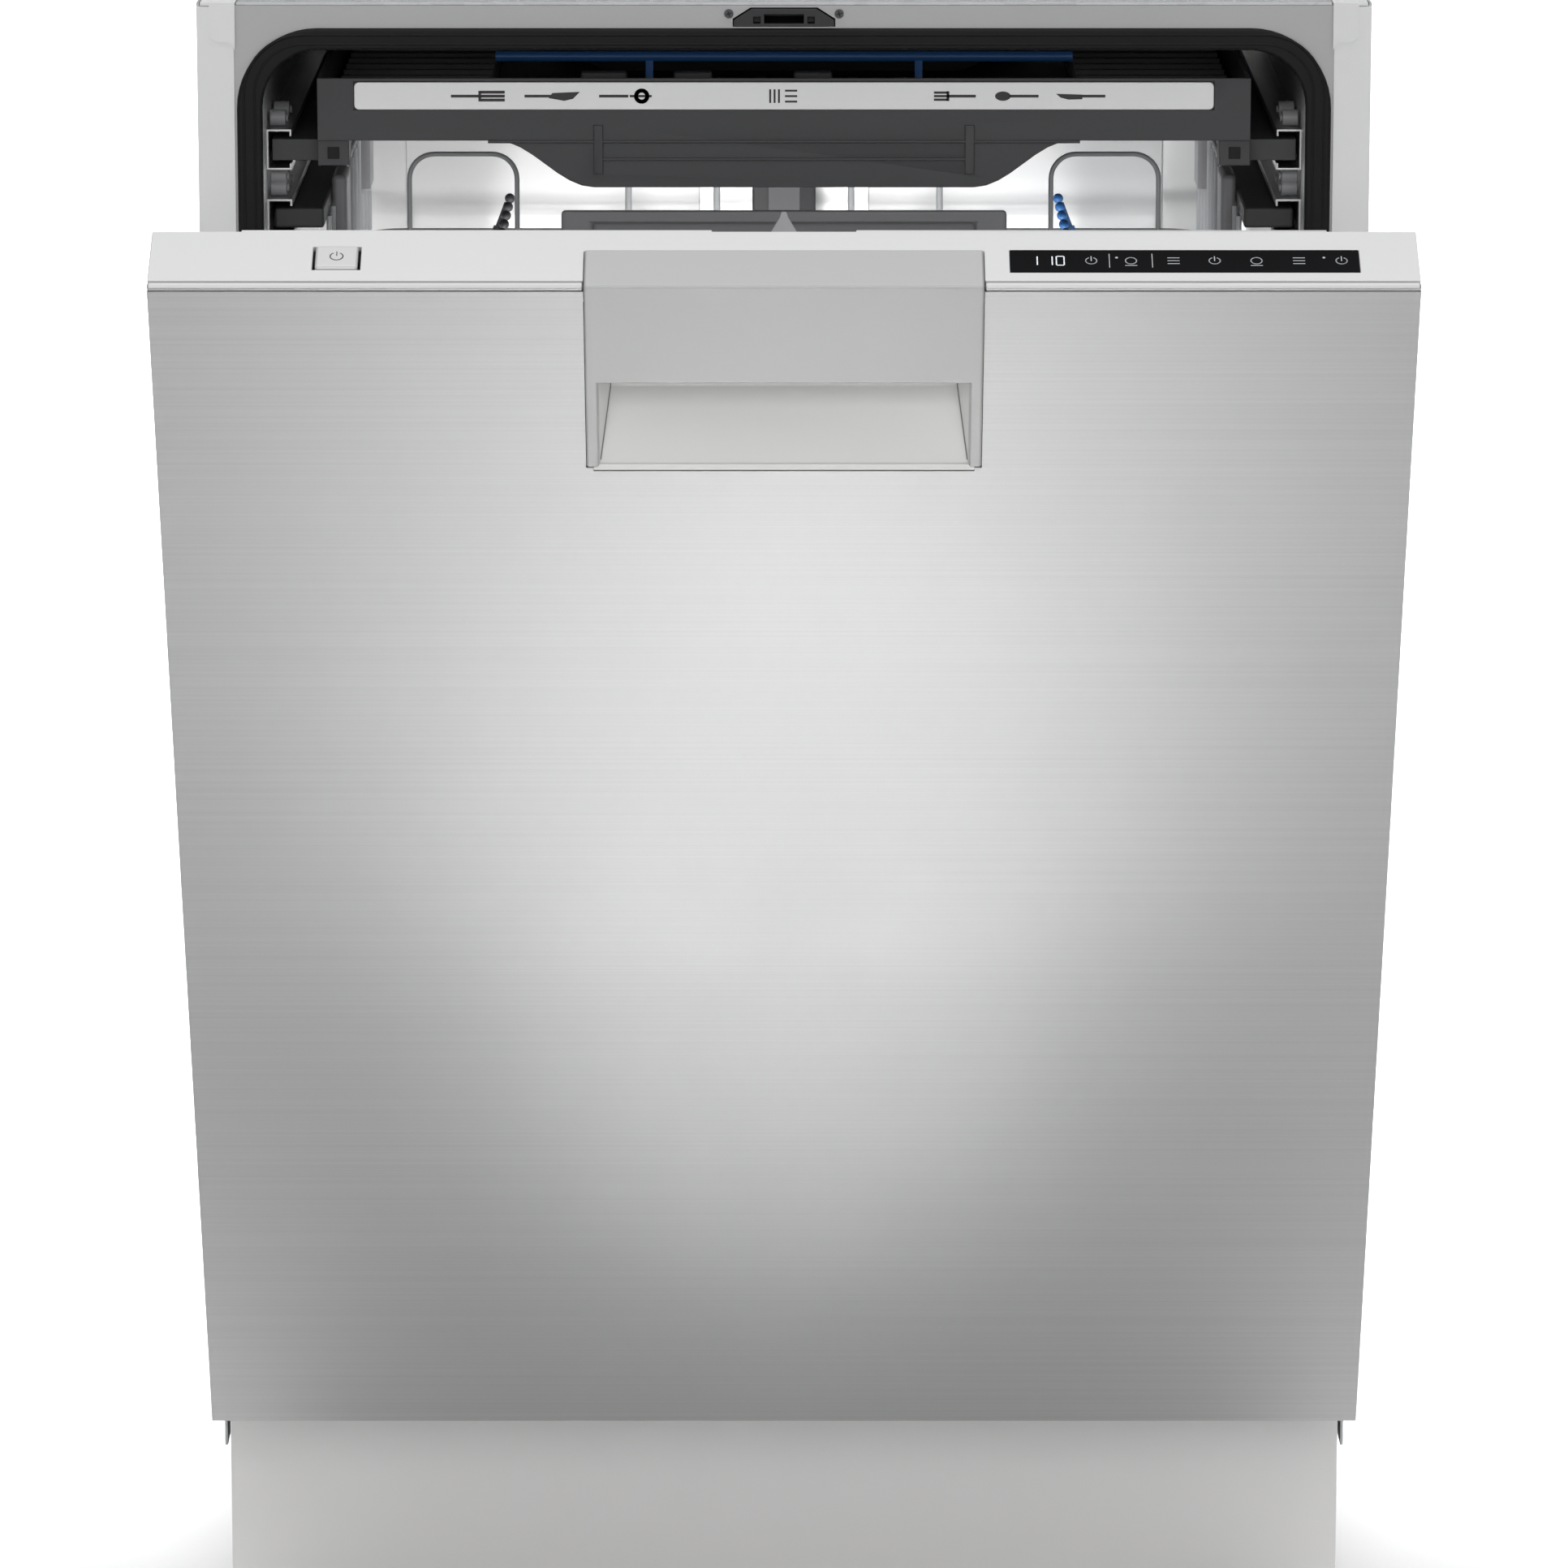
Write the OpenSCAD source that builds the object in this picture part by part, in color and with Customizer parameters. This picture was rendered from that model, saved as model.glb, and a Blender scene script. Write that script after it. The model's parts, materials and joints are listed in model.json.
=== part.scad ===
// Built-in dishwasher, 60 cm, with its door ajar.
// Frame: X to the machine's right as seen from the front, Y backwards, Z up, millimetres.
// Inside the modules Y = 0 is the front flange of the cabinet and Z = 0 is the floor; the placed()
// module then moves the whole machine so that the origin is under the middle of its box.

/* [Overall size] */
// Width of the cabinet and of the door
body_w = 596; // [500:1:720]
// Height from the floor to the top of the cabinet
body_h = 858; // [740:1:1030]
// Depth of the cabinet behind its front flange
body_d = 524; // [470:1:630]
// Angle at which the door stands open
door_open = 26.5; // [20:0.5:60]

/* [Cabinet] */
// Floor to the underside of the tub
base_h = 176; // [166:1:212]
// Distance between the tub and the outside of the cabinet at each side
side_space = 33; // [30:1:42]
// Depth of the base tray under the tub
base_depth = 114; // [110:1:120]
// Sheet thickness of the cabinet panels
sheet = 1.4; // [1:0.1:3]
// Sheet thickness of the tub
tub_sheet = 1.2; // [0.8:0.1:2]
// Corner radius of the front opening
mouth_r = 41; // [32:1:45]
// Width of the rubber door seal
seal_w = 13; // [9:0.5:15]
// Setback of the plinth behind the front flange
plinth_back = 45; // [40:1:60]

/* [Door] */
// Thickness of the door without its inner bulge
door_t = 45; // [40:1:56]
// Gap under the door panel, floor to its lower edge
door_low = 135; // [125:1:139]
// Depth of the bulge of the inner door
bulge_d = 11; // [6:0.5:13]
// Width of the handle
handle_w = 188; // [120:1:230]
// Height of the handle plate on the front
handle_plate_h = 55; // [35:1:65]
// Height of the grip opening under the plate
grip_h = 49; // [38:1:58]
// Length of the display window
display_w = 164; // [80:1:164]
// Distance from the display window to the door's right edge
display_inset = 28; // [20:1:40]
// Width of the power key
key_w = 20; // [16:1:28]
// Distance from the middle of the power key to the door's left edge
key_inset = 88; // [60:1:100]
// Radius of the hinge pins
hinge_pin_r = 4; // [3:0.1:5]

/* [Baskets] */
// Thickness of the basket wires
wire = 3; // [2:0.1:4]
// Height of the upper basket
upper_basket_h = 140; // [110:1:150]
// Height of the lower basket
lower_basket_h = 165; // [130:1:200]
// Radius of the lower basket's wheels
wheel_r = 16; // [13:0.5:18]
// Height of the cutlery tray at its wings
tray_h = 32; // [28:1:38]
// Depth of the tray's middle below its wings
tray_drop = 24; // [12:1:26]
// Width of the tray's shallow wings
tray_wing_w = 91; // [70:1:110]
// Width of the slope from a wing to the deep middle
tray_slope_w = 50; // [30:1:60]
// Width of the basket handles
basket_handle_w = 228; // [180:1:260]
// Width of a folding glass rest
rest_w = 56; // [40:1:60]
// Distance from a glass rest's middle to the side of the basket
rest_inset = 71; // [50:1:80]

/* [Hidden] */
$fn = 48;

half_w = body_w / 2;
gap = 0.5;                       // clearance between pieces that must not touch
running = 0.05;                  // radial clearance of a pin in its bore

// Door, in its closed place
door_back = -3.5;                          // rear plane of the door, just clear of the seal
door_front = door_back - door_t;
door_top = body_h - 2;
pivot_y = door_back - 9.5;
pivot_z = base_h - 20;
door_skin = 1.2;
fascia_t = 3;
handle_proud = 1.5;
handle_front = door_front - handle_proud;
handle_top = door_top + 1.2;
hinge_slot = half_w - 18;                  // the hinge runs outside this in the door's lower corners
hinge_notch_top = pivot_z + 40;

// The machine is centred on its box, which the open door lengthens
front_reach = pivot_y + (handle_front - pivot_y) * cos(door_open)
    - (handle_top - pivot_z) * sin(door_open);
centre_y = (front_reach + body_d) / 2;

// Tub and opening
mouth_half = half_w - 20;
mouth_top = body_h - 13;
mouth_low = base_h + 5;
tub_half = half_w - side_space;            // inner half width
tub_floor = base_h + tub_sheet;
tub_top = body_h - 14;                     // inner ceiling
tub_back = body_d - 26;                    // inner face of the back wall
seal_half = mouth_half - seal_w;
seal_top = mouth_top - 11;

// Spray arms and sump
arm_x = 0;
arm_y = tub_back / 2;
sump_x = 0;
sump_r = 88;
filter_y = arm_y + 52;
filter_r = 36;
softener_x = -150;
softener_y = tub_back - 110;

// Rails
rail_w = 13;
rail_h = 21;
rail_t = 1.2;
tray_rail_z = body_h - 89;
basket_rail_z = tray_rail_z - 36;
rail_front = 26;
rail_back = tub_back - 14;

// Baskets
rack_front = 24;
rack_back = tub_back - 24;
rack_half = tub_half - rail_w - 14;
tray_top = body_h - 40;
tray_wing = tray_top - tray_h;             // underside of the shallow wings
tray_deep = tray_wing - tray_drop;                // underside of the deep middle
tray_front = 12;
tray_wall = 2.5;
tray_slope_out = rack_half - tray_wing_w;
tray_slope_in = tray_slope_out - tray_slope_w;
upper_top = body_h - 113;
upper_low = upper_top - upper_basket_h;
lower_low = tub_floor + 2 * wheel_r + 2;
lower_top = lower_low + lower_basket_h;

module placed() { translate([0, -centre_y, 0]) children(); }
module on_door() {
    placed() translate([0, pivot_y, pivot_z]) rotate([door_open, 0, 0])
        translate([0, -pivot_y, -pivot_z]) children();
}
module both_sides() {
    children();
    mirror([1, 0, 0]) children();
}
// A box from one corner to the opposite one
module block(a, b) { translate(a) cube([b[0] - a[0], b[1] - a[1], b[2] - a[2]]); }
// A round-cornered rectangle in X and Z, between two corners, as deep as from y0 to y1
module rounded_slab(x0, z0, x1, z1, r, y0, y1) {
    translate([0, y1, 0]) rotate([90, 0, 0]) linear_extrude(y1 - y0) union() {
        translate([x0 + r, z0]) square([x1 - x0 - 2 * r, z1 - z0]);
        translate([x0, z0 + r]) square([x1 - x0, z1 - z0 - 2 * r]);
        for (x = [x0 + r, x1 - r], z = [z0 + r, z1 - r]) translate([x, z]) circle(r);
    }
}
// The door opening: square at its foot and rounded at its top
module mouth(half, low, top, r, y0, y1) {
    translate([0, y1, 0]) rotate([90, 0, 0]) linear_extrude(y1 - y0) union() {
        translate([-half, low]) square([2 * half, top - low - r]);
        translate([-half + r, low]) square([2 * half - 2 * r, top - low]);
        for (x = [-half + r, half - r]) translate([x, top - r]) circle(r);
    }
}
module rod_x(x0, x1, y, z, r) { translate([x0, y, z]) rotate([0, 90, 0]) cylinder(r = r, h = x1 - x0); }
module rod_y(x, y0, y1, z, r) { translate([x, y1, z]) rotate([90, 0, 0]) cylinder(r = r, h = y1 - y0); }
module rod_z(x, y, z0, z1, r) { translate([x, y, z0]) cylinder(r = r, h = z1 - z0); }
// A rectangular grille: a plate of wire thickness with nx by ny openings, drawn flat in X and Y
module grille(w, d, nx, ny) {
    pitch_x = (w - wire) / nx;
    pitch_y = (d - wire) / ny;
    linear_extrude(wire) difference() {
        square([w, d]);
        for (i = [0:nx - 1], j = [0:ny - 1])
            translate([wire + i * pitch_x, wire + j * pitch_y])
                square([pitch_x - wire, pitch_y - wire]);
    }
}
// An open basket of five grilles; its front and back walls can stand lower than its sides
module basket(half, y0, y1, z0, z1, front_drop, back_drop) {
    union() {
        translate([-half, y0, z0]) grille(2 * half, y1 - y0, 5, 4);
        both_sides() translate([-half + wire, y0, z0]) rotate([0, -90, 0]) grille(z1 - z0, y1 - y0, 1, 4);
        translate([-half, y0 + wire, z0]) rotate([90, 0, 0])
            grille(2 * half, z1 - z0 - front_drop, 5, 1);
        translate([-half, y1, z0]) rotate([90, 0, 0]) grille(2 * half, z1 - z0 - back_drop, 5, 1);
    }
}

// ---------------------------------------------------------------- cabinet

module tub() {
    color("gainsboro") placed() difference() {
        mouth(tub_half + tub_sheet, base_h, tub_top + tub_sheet, mouth_r - 4,
            2 * sheet, tub_back + tub_sheet);
        mouth(tub_half, tub_floor, tub_top, mouth_r - 4 - tub_sheet, 2 * sheet - 1, tub_back);
        rod_z(sump_x, filter_y, base_h - 1, tub_floor + 1, sump_r - 6);
        rod_z(softener_x, softener_y, base_h - 1, tub_floor + 1, 30);
    }
}

module front_frame() {
    color("silver") placed() difference() {
        block([-half_w + sheet, 0, base_h + 1], [half_w - sheet, 2 * sheet, body_h - sheet]);
        mouth(mouth_half, base_h - 1, mouth_top, mouth_r, -1, 2 * sheet + 1);
        latch_prism(0, -1, 2 * sheet + 1);
        both_sides() rod_y(latch_screw_x, -1, 2 * sheet + 1, latch_screw_z, screw_r);
    }
}

module side_panels() {
    color("lightgray") placed() both_sides() difference() {
        block([half_w - sheet, 0, base_low + 18], [half_w, body_d - 2, body_h]);
        block([half_w - 2 * sheet, -1, 0], [half_w + 1, plinth_back + 15, base_h + 1]);
        for (z = side_hole_z) rod_x(half_w - 3 * sheet, half_w + 1, side_hole_y, z, side_hole_r);
    }
}
side_hole_r = 2.5;
side_hole_y = 18;
side_hole_z = [base_h + 120, body_h - 120];

module top_panel() {
    color("whitesmoke") placed() difference() {
        block([-half_w + sheet, 0, body_h - sheet], [half_w - sheet, body_d - 2, body_h]);
        both_sides() block([bracket_x0 - gap, -1, body_h - 2 * sheet], [half_w, bracket_d + gap, body_h + 1]);
        for (x = [-recess_pitch, 0, recess_pitch])
            block([x - recess_w / 2, recess_margin, body_h - recess_depth],
                [x + recess_w / 2, body_d - recess_margin, body_h + 1]);
    }
}
recess_pitch = 150;
recess_w = 80;
recess_margin = 120;
recess_depth = 0.6;

module rear_panel() {
    color("lightgray") placed() union() {
        block([-half_w + sheet, body_d - 2 - sheet, rear_panel_low],
            [half_w - sheet, body_d - 2, body_h - sheet]);
        both_sides() block([half_w - sheet - rear_flange_w, body_d - 2 - rear_flange_d, rear_panel_low],
            [half_w - sheet, body_d - 2 - sheet, body_h - sheet]);
    }
}
rear_panel_low = base_h + 20;
rear_flange_w = 18;
rear_flange_d = 20;

base_front = plinth_back + 13;
base_low = base_h - base_depth;
pump_z = base_low + 62;
base_wall = 2.5;
base_half = half_w - 6;
foot_x = base_half - 34;
foot_front_y = base_front + 34;
foot_back_y = body_d - 50;
foot_rod_r = 5;
foot_pad_r = 20;
foot_pad_t = 6;
foot_nut_r = 11;
foot_nut_t = 8;
foot_socket_r = 13;
foot_socket_h = 48;
base_ledge_z = base_low + 38;              // the side panels rest on a ledge along each side
base_ledge_t = 6;

module base_tray() {
    color([0.12, 0.12, 0.13]) placed() difference() {
        union() {
            difference() {
                block([-base_half, base_front, base_low], [base_half, body_d - 24, base_h]);
                block([-base_half + base_wall, base_front + base_wall, base_low + base_wall],
                    [base_half - base_wall, body_d - 24 - base_wall, base_h + 1]);
            }
            for (x = [-foot_x, foot_x], y = [foot_front_y, foot_back_y])
                rod_z(x, y, base_low, base_low + foot_socket_h, foot_socket_r);
            both_sides() block([base_half - 1, base_front + 20, base_ledge_z],
                [half_w - sheet, body_d - 60, base_ledge_z + base_ledge_t]);
        }
        for (x = [-foot_x, foot_x], y = [foot_front_y, foot_back_y])
            rod_z(x, y, base_low - 1, base_low + foot_socket_h + 1, foot_rod_r + running);
        for (p = rear_ports) rod_y(p[0], body_d - 30, body_d - 20, p[1], p[2] + 1);
    }
}

module plinth_panel() {
    color([0.8, 0.8, 0.79]) placed() union() {
        block([-half_w + 4, plinth_back, 3], [half_w - 4, plinth_back + 2, door_low - 4]);
        block([-half_w + 4, plinth_back + 2, door_low - 12], [half_w - 4, base_front, door_low - 10]);
        both_sides() block([half_w - 6, plinth_back + 2, 3], [half_w - 4, plinth_back + 10, door_low - 12]);
    }
}

module levelling_feet() {
    color("dimgray") placed() for (x = [-foot_x, foot_x], y = [foot_front_y, foot_back_y]) union() {
        rod_z(x, y, 0, foot_pad_t, foot_pad_r);
        rod_z(x, y, foot_pad_t, foot_pad_t + foot_nut_t, foot_nut_r);
        rod_z(x, y, foot_pad_t + foot_nut_t, base_low + foot_socket_h - 8, foot_rod_r);
    }
}

module door_seal() {
    color([0.06, 0.06, 0.06]) placed() difference() {
        mouth(mouth_half - 0.2, mouth_low, mouth_top - 0.2, mouth_r - 0.2, door_back + gap, 2 * sheet);
        mouth(seal_half, mouth_low - 1, seal_top, mouth_r - 12, door_back - 1, 2 * sheet + 1);
    }
}

// Cover strips on the cabinet's front edges
module side_trims() {
    color([0.85, 0.85, 0.85]) placed() both_sides() block([mouth_half + 1, -1, base_h + 1],
        [half_w, 0, body_h - sheet - gap]);
}

bracket_x0 = mouth_half + 0.5;
bracket_d = 30;
bracket_hole_y = 15;
bracket_hole_r = 2.25;
bracket_hole_x = half_w - 11;
tab_w = 13;
tab_low = body_h - 20;
tab_r = 5;

// The S-shaped tab at each top corner, with the flap that screws to the worktop
module corner_brackets() {
    color([0.7, 0.7, 0.71]) placed() both_sides() {
        translate([0, -1, 0]) rotate([90, 0, 0]) linear_extrude(1) union() {
            translate([bracket_x0, tab_low + 2 * tab_r]) square([tab_w, body_h - tab_low - 2 * tab_r]);
            translate([bracket_x0, tab_low]) square([tab_w - tab_r, 2 * tab_r]);
            translate([bracket_x0 + tab_w - tab_r, tab_low + tab_r]) circle(tab_r);
            translate([bracket_x0 + tab_w - tab_r, tab_low + tab_r]) square([tab_r, tab_r]);
            difference() {
                translate([bracket_x0, tab_low - tab_r]) square([tab_r, tab_r]);
                translate([bracket_x0 + tab_r, tab_low - tab_r]) circle(tab_r);
            }
        }
        difference() {
            block([bracket_x0, -1, body_h - sheet], [half_w - sheet - gap, bracket_d, body_h]);
            rod_z(bracket_hole_x, bracket_hole_y, body_h - 2 * sheet, body_h + 1, bracket_hole_r);
        }
    }
}

latch_half = 26;
latch_low = mouth_top + 0.8;
latch_high = body_h - 2.5;
latch_neck = 17;                           // half width at the top
latch_screw_x = latch_half + 2;
latch_screw_z = body_h - 5.5;
screw_r = 1.8;
tongue_z = door_top - 7.5;
tongue_t = 2.5;
tongue_half = 8;
tongue_root = 3.5;
tongue_l = 24;

// The latch's outline, wide at the opening and narrow above it, shrunk by a clearance
module latch_prism(c, y0, y1) {
    translate([0, y1, 0]) rotate([90, 0, 0]) linear_extrude(y1 - y0) polygon([
        [-latch_half + c, latch_low + c], [latch_half - c, latch_low + c],
        [latch_half - c, latch_low + 4 - c], [latch_neck - c, latch_high - c],
        [-latch_neck + c, latch_high - c], [-latch_half + c, latch_low + 4 - c]]);
}

module latch_housing() {
    color([0.15, 0.15, 0.16]) placed() difference() {
        latch_prism(gap, -2, 34);
        block([-tongue_half - 2, -4, tongue_z - 0.9],
            [tongue_half + 2, tongue_l + 6, tongue_z + tongue_t + 1.2]);
        both_sides() block([12, -4, tongue_z - 1], [15.5, 6, tongue_z + 2.5]);
    }
}

module latch_screws() {
    color("dimgray") placed() both_sides() union() {
        rod_y(latch_screw_x, -1.6, 0, latch_screw_z, 2.3);
        rod_y(latch_screw_x, 0, 9, latch_screw_z, screw_r - 0.05);
    }
}

hinge_x0 = hinge_slot + 1.5;              // inner face of the moving arm
hinge_arm_t = 3;
hinge_ear_x0 = hinge_x0 + hinge_arm_t + gap;
hinge_ear_t = 3;

hinge_lug_x1 = base_half + 2;
module hinge_brackets() {
    color("gray") placed() both_sides() union() {
        rod_x(hinge_ear_x0, hinge_ear_x0 + hinge_ear_t, pivot_y, pivot_z, hinge_pin_r + 3.5);
        block([hinge_ear_x0, pivot_y, pivot_z - 5], [hinge_ear_x0 + hinge_ear_t, base_front, pivot_z + 5]);
        block([hinge_ear_x0, base_front - 4, pivot_z - 30], [hinge_lug_x1, base_front, pivot_z + 5]);
        block([base_half, base_front - 1, pivot_z - 30], [hinge_lug_x1, base_front + 60, pivot_z + 5]);
        rod_x(hinge_x0 - 1.5, hinge_ear_x0 + 1, pivot_y, pivot_z, hinge_pin_r);
    }
}

spring_r = 5.5;
spring_x = base_half - base_wall - spring_r - 2;
spring_z = base_low + 64;
// The tension springs that carry the door's weight, one beside each end of the base
module balance_springs() {
    color("slategray") placed() both_sides() union() {
        for (i = [0:coil_count - 1])
            rod_y(spring_x, coil_y + i * coil_pitch, coil_y + i * coil_pitch + coil_l, spring_z, spring_r);
        rod_y(spring_x, base_front + base_wall + gap, base_front + spring_l, spring_z, spring_rod_r);
    }
}
spring_l = 300;
spring_rod_r = 2;
coil_y = base_front + 110;
coil_count = 12;
coil_pitch = 14;
coil_l = 11;

// ---------------------------------------------------------------- water parts

sump_low = base_low + 28;
sump_wall = 8;
sump_foot_r = 50;
module sump() {
    color([0.2, 0.2, 0.22]) placed() difference() {
        union() {
            rod_z(sump_x, filter_y, sump_low, base_h, sump_r);
            rod_z(sump_x, filter_y, base_low + 18, sump_low, sump_foot_r);
        }
        rod_z(sump_x, filter_y, sump_low + 10, base_h + 1, sump_r - sump_wall);
    }
}

pump_x = sump_x + sump_r;
volute_r = 38;
volute_l = 26;
motor_r = 30;
motor_l = 70;
bearing_r = 12;
bearing_l = 6;
module circulation_pump() {
    color([0.25, 0.25, 0.27]) placed() union() {
        rod_x(pump_x, pump_x + volute_l, filter_y, pump_z, volute_r);
        rod_x(pump_x + volute_l, pump_x + volute_l + motor_l, filter_y, pump_z, motor_r);
        rod_x(pump_x + volute_l + motor_l, pump_x + volute_l + motor_l + bearing_l,
            filter_y, pump_z, bearing_r);
    }
}

drain_pump_y = filter_y - sump_r;
drain_pump_z = pump_z - 6;
drain_head_r = 24;
drain_head_l = 22;
drain_motor_r = 18;
drain_motor_l = 36;
module drain_pump() {
    color([0.3, 0.3, 0.32]) placed() union() {
        rod_y(sump_x, drain_pump_y - drain_head_l, drain_pump_y, drain_pump_z, drain_head_r);
        rod_y(sump_x, drain_pump_y - drain_head_l - drain_motor_l, drain_pump_y - drain_head_l, drain_pump_z,
            drain_motor_r);
    }
}

softener_left = 60;                        // from the salt hole's axis to each side of the container
softener_right = 48;
softener_half_d = 55;
salt_neck_r = 29.5;
salt_hole_r = 22;
module water_softener() {
    color([0.88, 0.88, 0.86]) placed() difference() {
        union() {
            block([softener_x - softener_left, softener_y - softener_half_d, base_low + 18],
                [softener_x + softener_right, softener_y + softener_half_d, base_h - 8]);
            rod_z(softener_x, softener_y, base_h - 8, tub_floor + 2, salt_neck_r);
        }
        rod_z(softener_x, softener_y, base_h - 20, tub_floor + 3, salt_hole_r);
    }
}

chamber_x = tub_half + tub_sheet;
chamber_t = 22;
chamber_y0 = 130;
chamber_y1 = 400;
chamber_z0 = base_h + 130;
chamber_z1 = body_h - 170;
chamber_rib_pitch = 70;
chamber_rib_h = 12;
// The flat chamber that meters the water, on the left of the tub, with raised ribs on its outer face
module water_chamber() {
    color([0.92, 0.92, 0.9]) placed() mirror([1, 0, 0]) union() {
        block([chamber_x, chamber_y0, chamber_z0], [chamber_x + chamber_t, chamber_y1, chamber_z1]);
        for (z = [chamber_z0 + 50:chamber_rib_pitch:chamber_z1 - 50])
            block([chamber_x + chamber_t, chamber_y0 + 20, z],
                [chamber_x + chamber_t + 2, chamber_y1 - 20, z + chamber_rib_h]);
    }
}

port_wall = body_d - 24 - base_wall;       // inner face of the base's back wall
port_inlet = [-foot_x + 55, base_low + 52, 13.2];       // X, Z and outer radius of the water inlet thread
port_drain = [foot_x - 55, base_low + 52, 9.5];
port_mains = [foot_x - 120, base_low + 38, 8];
rear_ports = [port_inlet, port_drain, port_mains];

// A port through the base's back wall: a collar inside it and a stub behind it
module rear_port(p, collar_l) {
    rod_y(p[0], port_wall - collar_l, port_wall, p[1], p[2] + 4);
    rod_y(p[0], port_wall, body_d - 0.5, p[1], p[2]);
}
coil_half = 12;                            // the valve's solenoid stands on its collar
coil_top = 40;
module inlet_valve() {
    color("gainsboro") placed() difference() {
        union() {
            rear_port(port_inlet, 30);
            block([port_inlet[0] - coil_half, port_wall - 43.5, port_inlet[1] - 4],
                [port_inlet[0] + coil_half, port_wall - 18.5, port_inlet[1] + coil_top]);
        }
        rod_y(port_inlet[0], body_d - 40, body_d, port_inlet[1], 8);
    }
}
module drain_outlet() {
    color("dimgray") placed() difference() {
        rear_port(port_drain, 20);
        rod_y(port_drain[0], body_d - 60, body_d, port_drain[1], 7);
    }
}
module mains_gland() {
    color([0.1, 0.1, 0.1]) placed() difference() {
        rear_port(port_mains, 12);
        rod_y(port_mains[0], body_d - 60, body_d, port_mains[1], 4);
    }
}

duct_half = 18;
duct_t = 14;
ceiling_duct_half = 14;
ceiling_duct_t = 5;

// The riser on the back wall, with its run under the ceiling to the top spray arm
module water_duct() {
    color([0.1, 0.1, 0.11]) placed() union() {
        block([-duct_half, tub_back - duct_t, tub_floor + 20], [duct_half, tub_back, tub_top]);
        block([-duct_half, arm_y - ceiling_duct_half, tub_top - ceiling_duct_t],
            [duct_half, tub_back - 1, tub_top]);
        rod_z(arm_x, arm_y, tub_top - ceiling_duct_t - 3, tub_top, hub_r - 1);
    }
}

module filter_plate() {
    color("silver") placed() difference() {
        rod_z(sump_x, filter_y, tub_floor, tub_floor + 2, sump_r + 8);
        rod_z(sump_x, filter_y, tub_floor - 1, tub_floor + 3, filter_r + gap);
        rod_z(arm_x, arm_y, tub_floor - 1, tub_floor + 3, hub_r);
    }
}

module filter_cylinder() {
    color([0.35, 0.36, 0.38]) placed() difference() {
        union() {
            rod_z(sump_x, filter_y, base_low + 44, tub_floor + 4, filter_r);
            block([sump_x - 4, filter_y - 26, tub_floor + 4], [sump_x + 4, filter_y + 26, tub_floor + 9]);
        }
        rod_z(sump_x, filter_y, base_low + 47, tub_floor + 1, filter_r - 3);
    }
}

module salt_cap() {
    color([0.3, 0.3, 0.32]) placed() union() {
        rod_z(softener_x, softener_y, tub_floor + 2.2, tub_floor + 7, 31);
        rod_z(softener_x, softener_y, base_h - 6, tub_floor + 2.2, 21.5);
        block([softener_x - 22, softener_y - 3, tub_floor + 7],
            [softener_x + 22, softener_y + 3, tub_floor + 12]);
    }
}

// ---------------------------------------------------------------- rails

// A C-shaped rail: its open side faces the middle of the tub
module c_rail(x_out, w, z0, h, t, y0, y1) {
    difference() {
        block([x_out - w, y0, z0], [x_out, y1, z0 + h]);
        block([x_out - w - 1, y0 - 1, z0 + 3 * t], [x_out - t, y1 + 1, z0 + h - 3 * t]);
        block([x_out - w + t, y0 - 1, z0 + t], [x_out - t, y1 + 1, z0 + h - t]);
    }
}
module tray_rails() {
    color("silver") placed() both_sides()
        c_rail(tub_half, rail_w, tray_rail_z, rail_h, rail_t, rail_front, rail_back);
}
module basket_rails() {
    color("silver") placed() both_sides()
        c_rail(tub_half, rail_w, basket_rail_z, rail_h, rail_t, rail_front, rail_back);
}
// ---------------------------------------------------------------- spray arms

// A spray arm: two tapered blades on a hub, drawn around the Z axis
module spray_arm(reach, root, tip, t) {
    union() {
        linear_extrude(t) polygon([[-reach, -tip], [-reach * 0.2, -root], [reach * 0.2, -root], [reach, -tip],
            [reach, tip], [reach * 0.2, root], [-reach * 0.2, root], [-reach, tip]]);
        cylinder(r = root + 6, h = t);
    }
}
ceiling_arm_z = tub_top - 14;
ceiling_arm_reach = 165;
middle_arm_z = upper_low - 22;
lower_arm_z = tub_floor + 13;
arm_reach = min(tub_half, tub_back / 2) - 40;
middle_arm_reach = arm_reach - 12;
arm_t = 8;
small_arm_t = 5;
hub_r = 12;
satellite_pin_r = 5;
satellite_r = 58;
satellite_x = arm_reach - satellite_r;

module ceiling_spray_arm() {
    color([0.09, 0.29, 0.55]) placed() translate([arm_x, arm_y, ceiling_arm_z])
        spray_arm(ceiling_arm_reach, 15, 10, small_arm_t);
}
module middle_spray_arm() {
    color([0.25, 0.26, 0.28]) placed() union() {
        translate([arm_x, arm_y, middle_arm_z]) spray_arm(middle_arm_reach, 19, 13, arm_t);
        rod_z(arm_x, arm_y, middle_arm_z + arm_t, upper_low, hub_r);
    }
}
module lower_spray_arm() {
    color([0.25, 0.26, 0.28]) placed() difference() {
        union() {
            translate([arm_x, arm_y, lower_arm_z]) spray_arm(arm_reach - 14, 20, 14, arm_t);
            rod_z(arm_x, arm_y, tub_floor + gap, lower_arm_z, hub_r - 1);
        }
        rod_z(satellite_x, arm_y, lower_arm_z - 1, lower_arm_z + arm_t + 1, satellite_pin_r + running);
    }
}
module satellite_spray_arm() {
    color([0.5, 0.51, 0.53]) placed() translate([satellite_x, arm_y, 0]) union() {
        translate([0, 0, lower_arm_z + arm_t + gap]) spray_arm(satellite_r, 9, 6, small_arm_t);
        rod_z(0, 0, lower_arm_z - gap, lower_arm_z + arm_t + 2 * gap, satellite_pin_r);
    }
}

// ---------------------------------------------------------------- door

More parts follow.
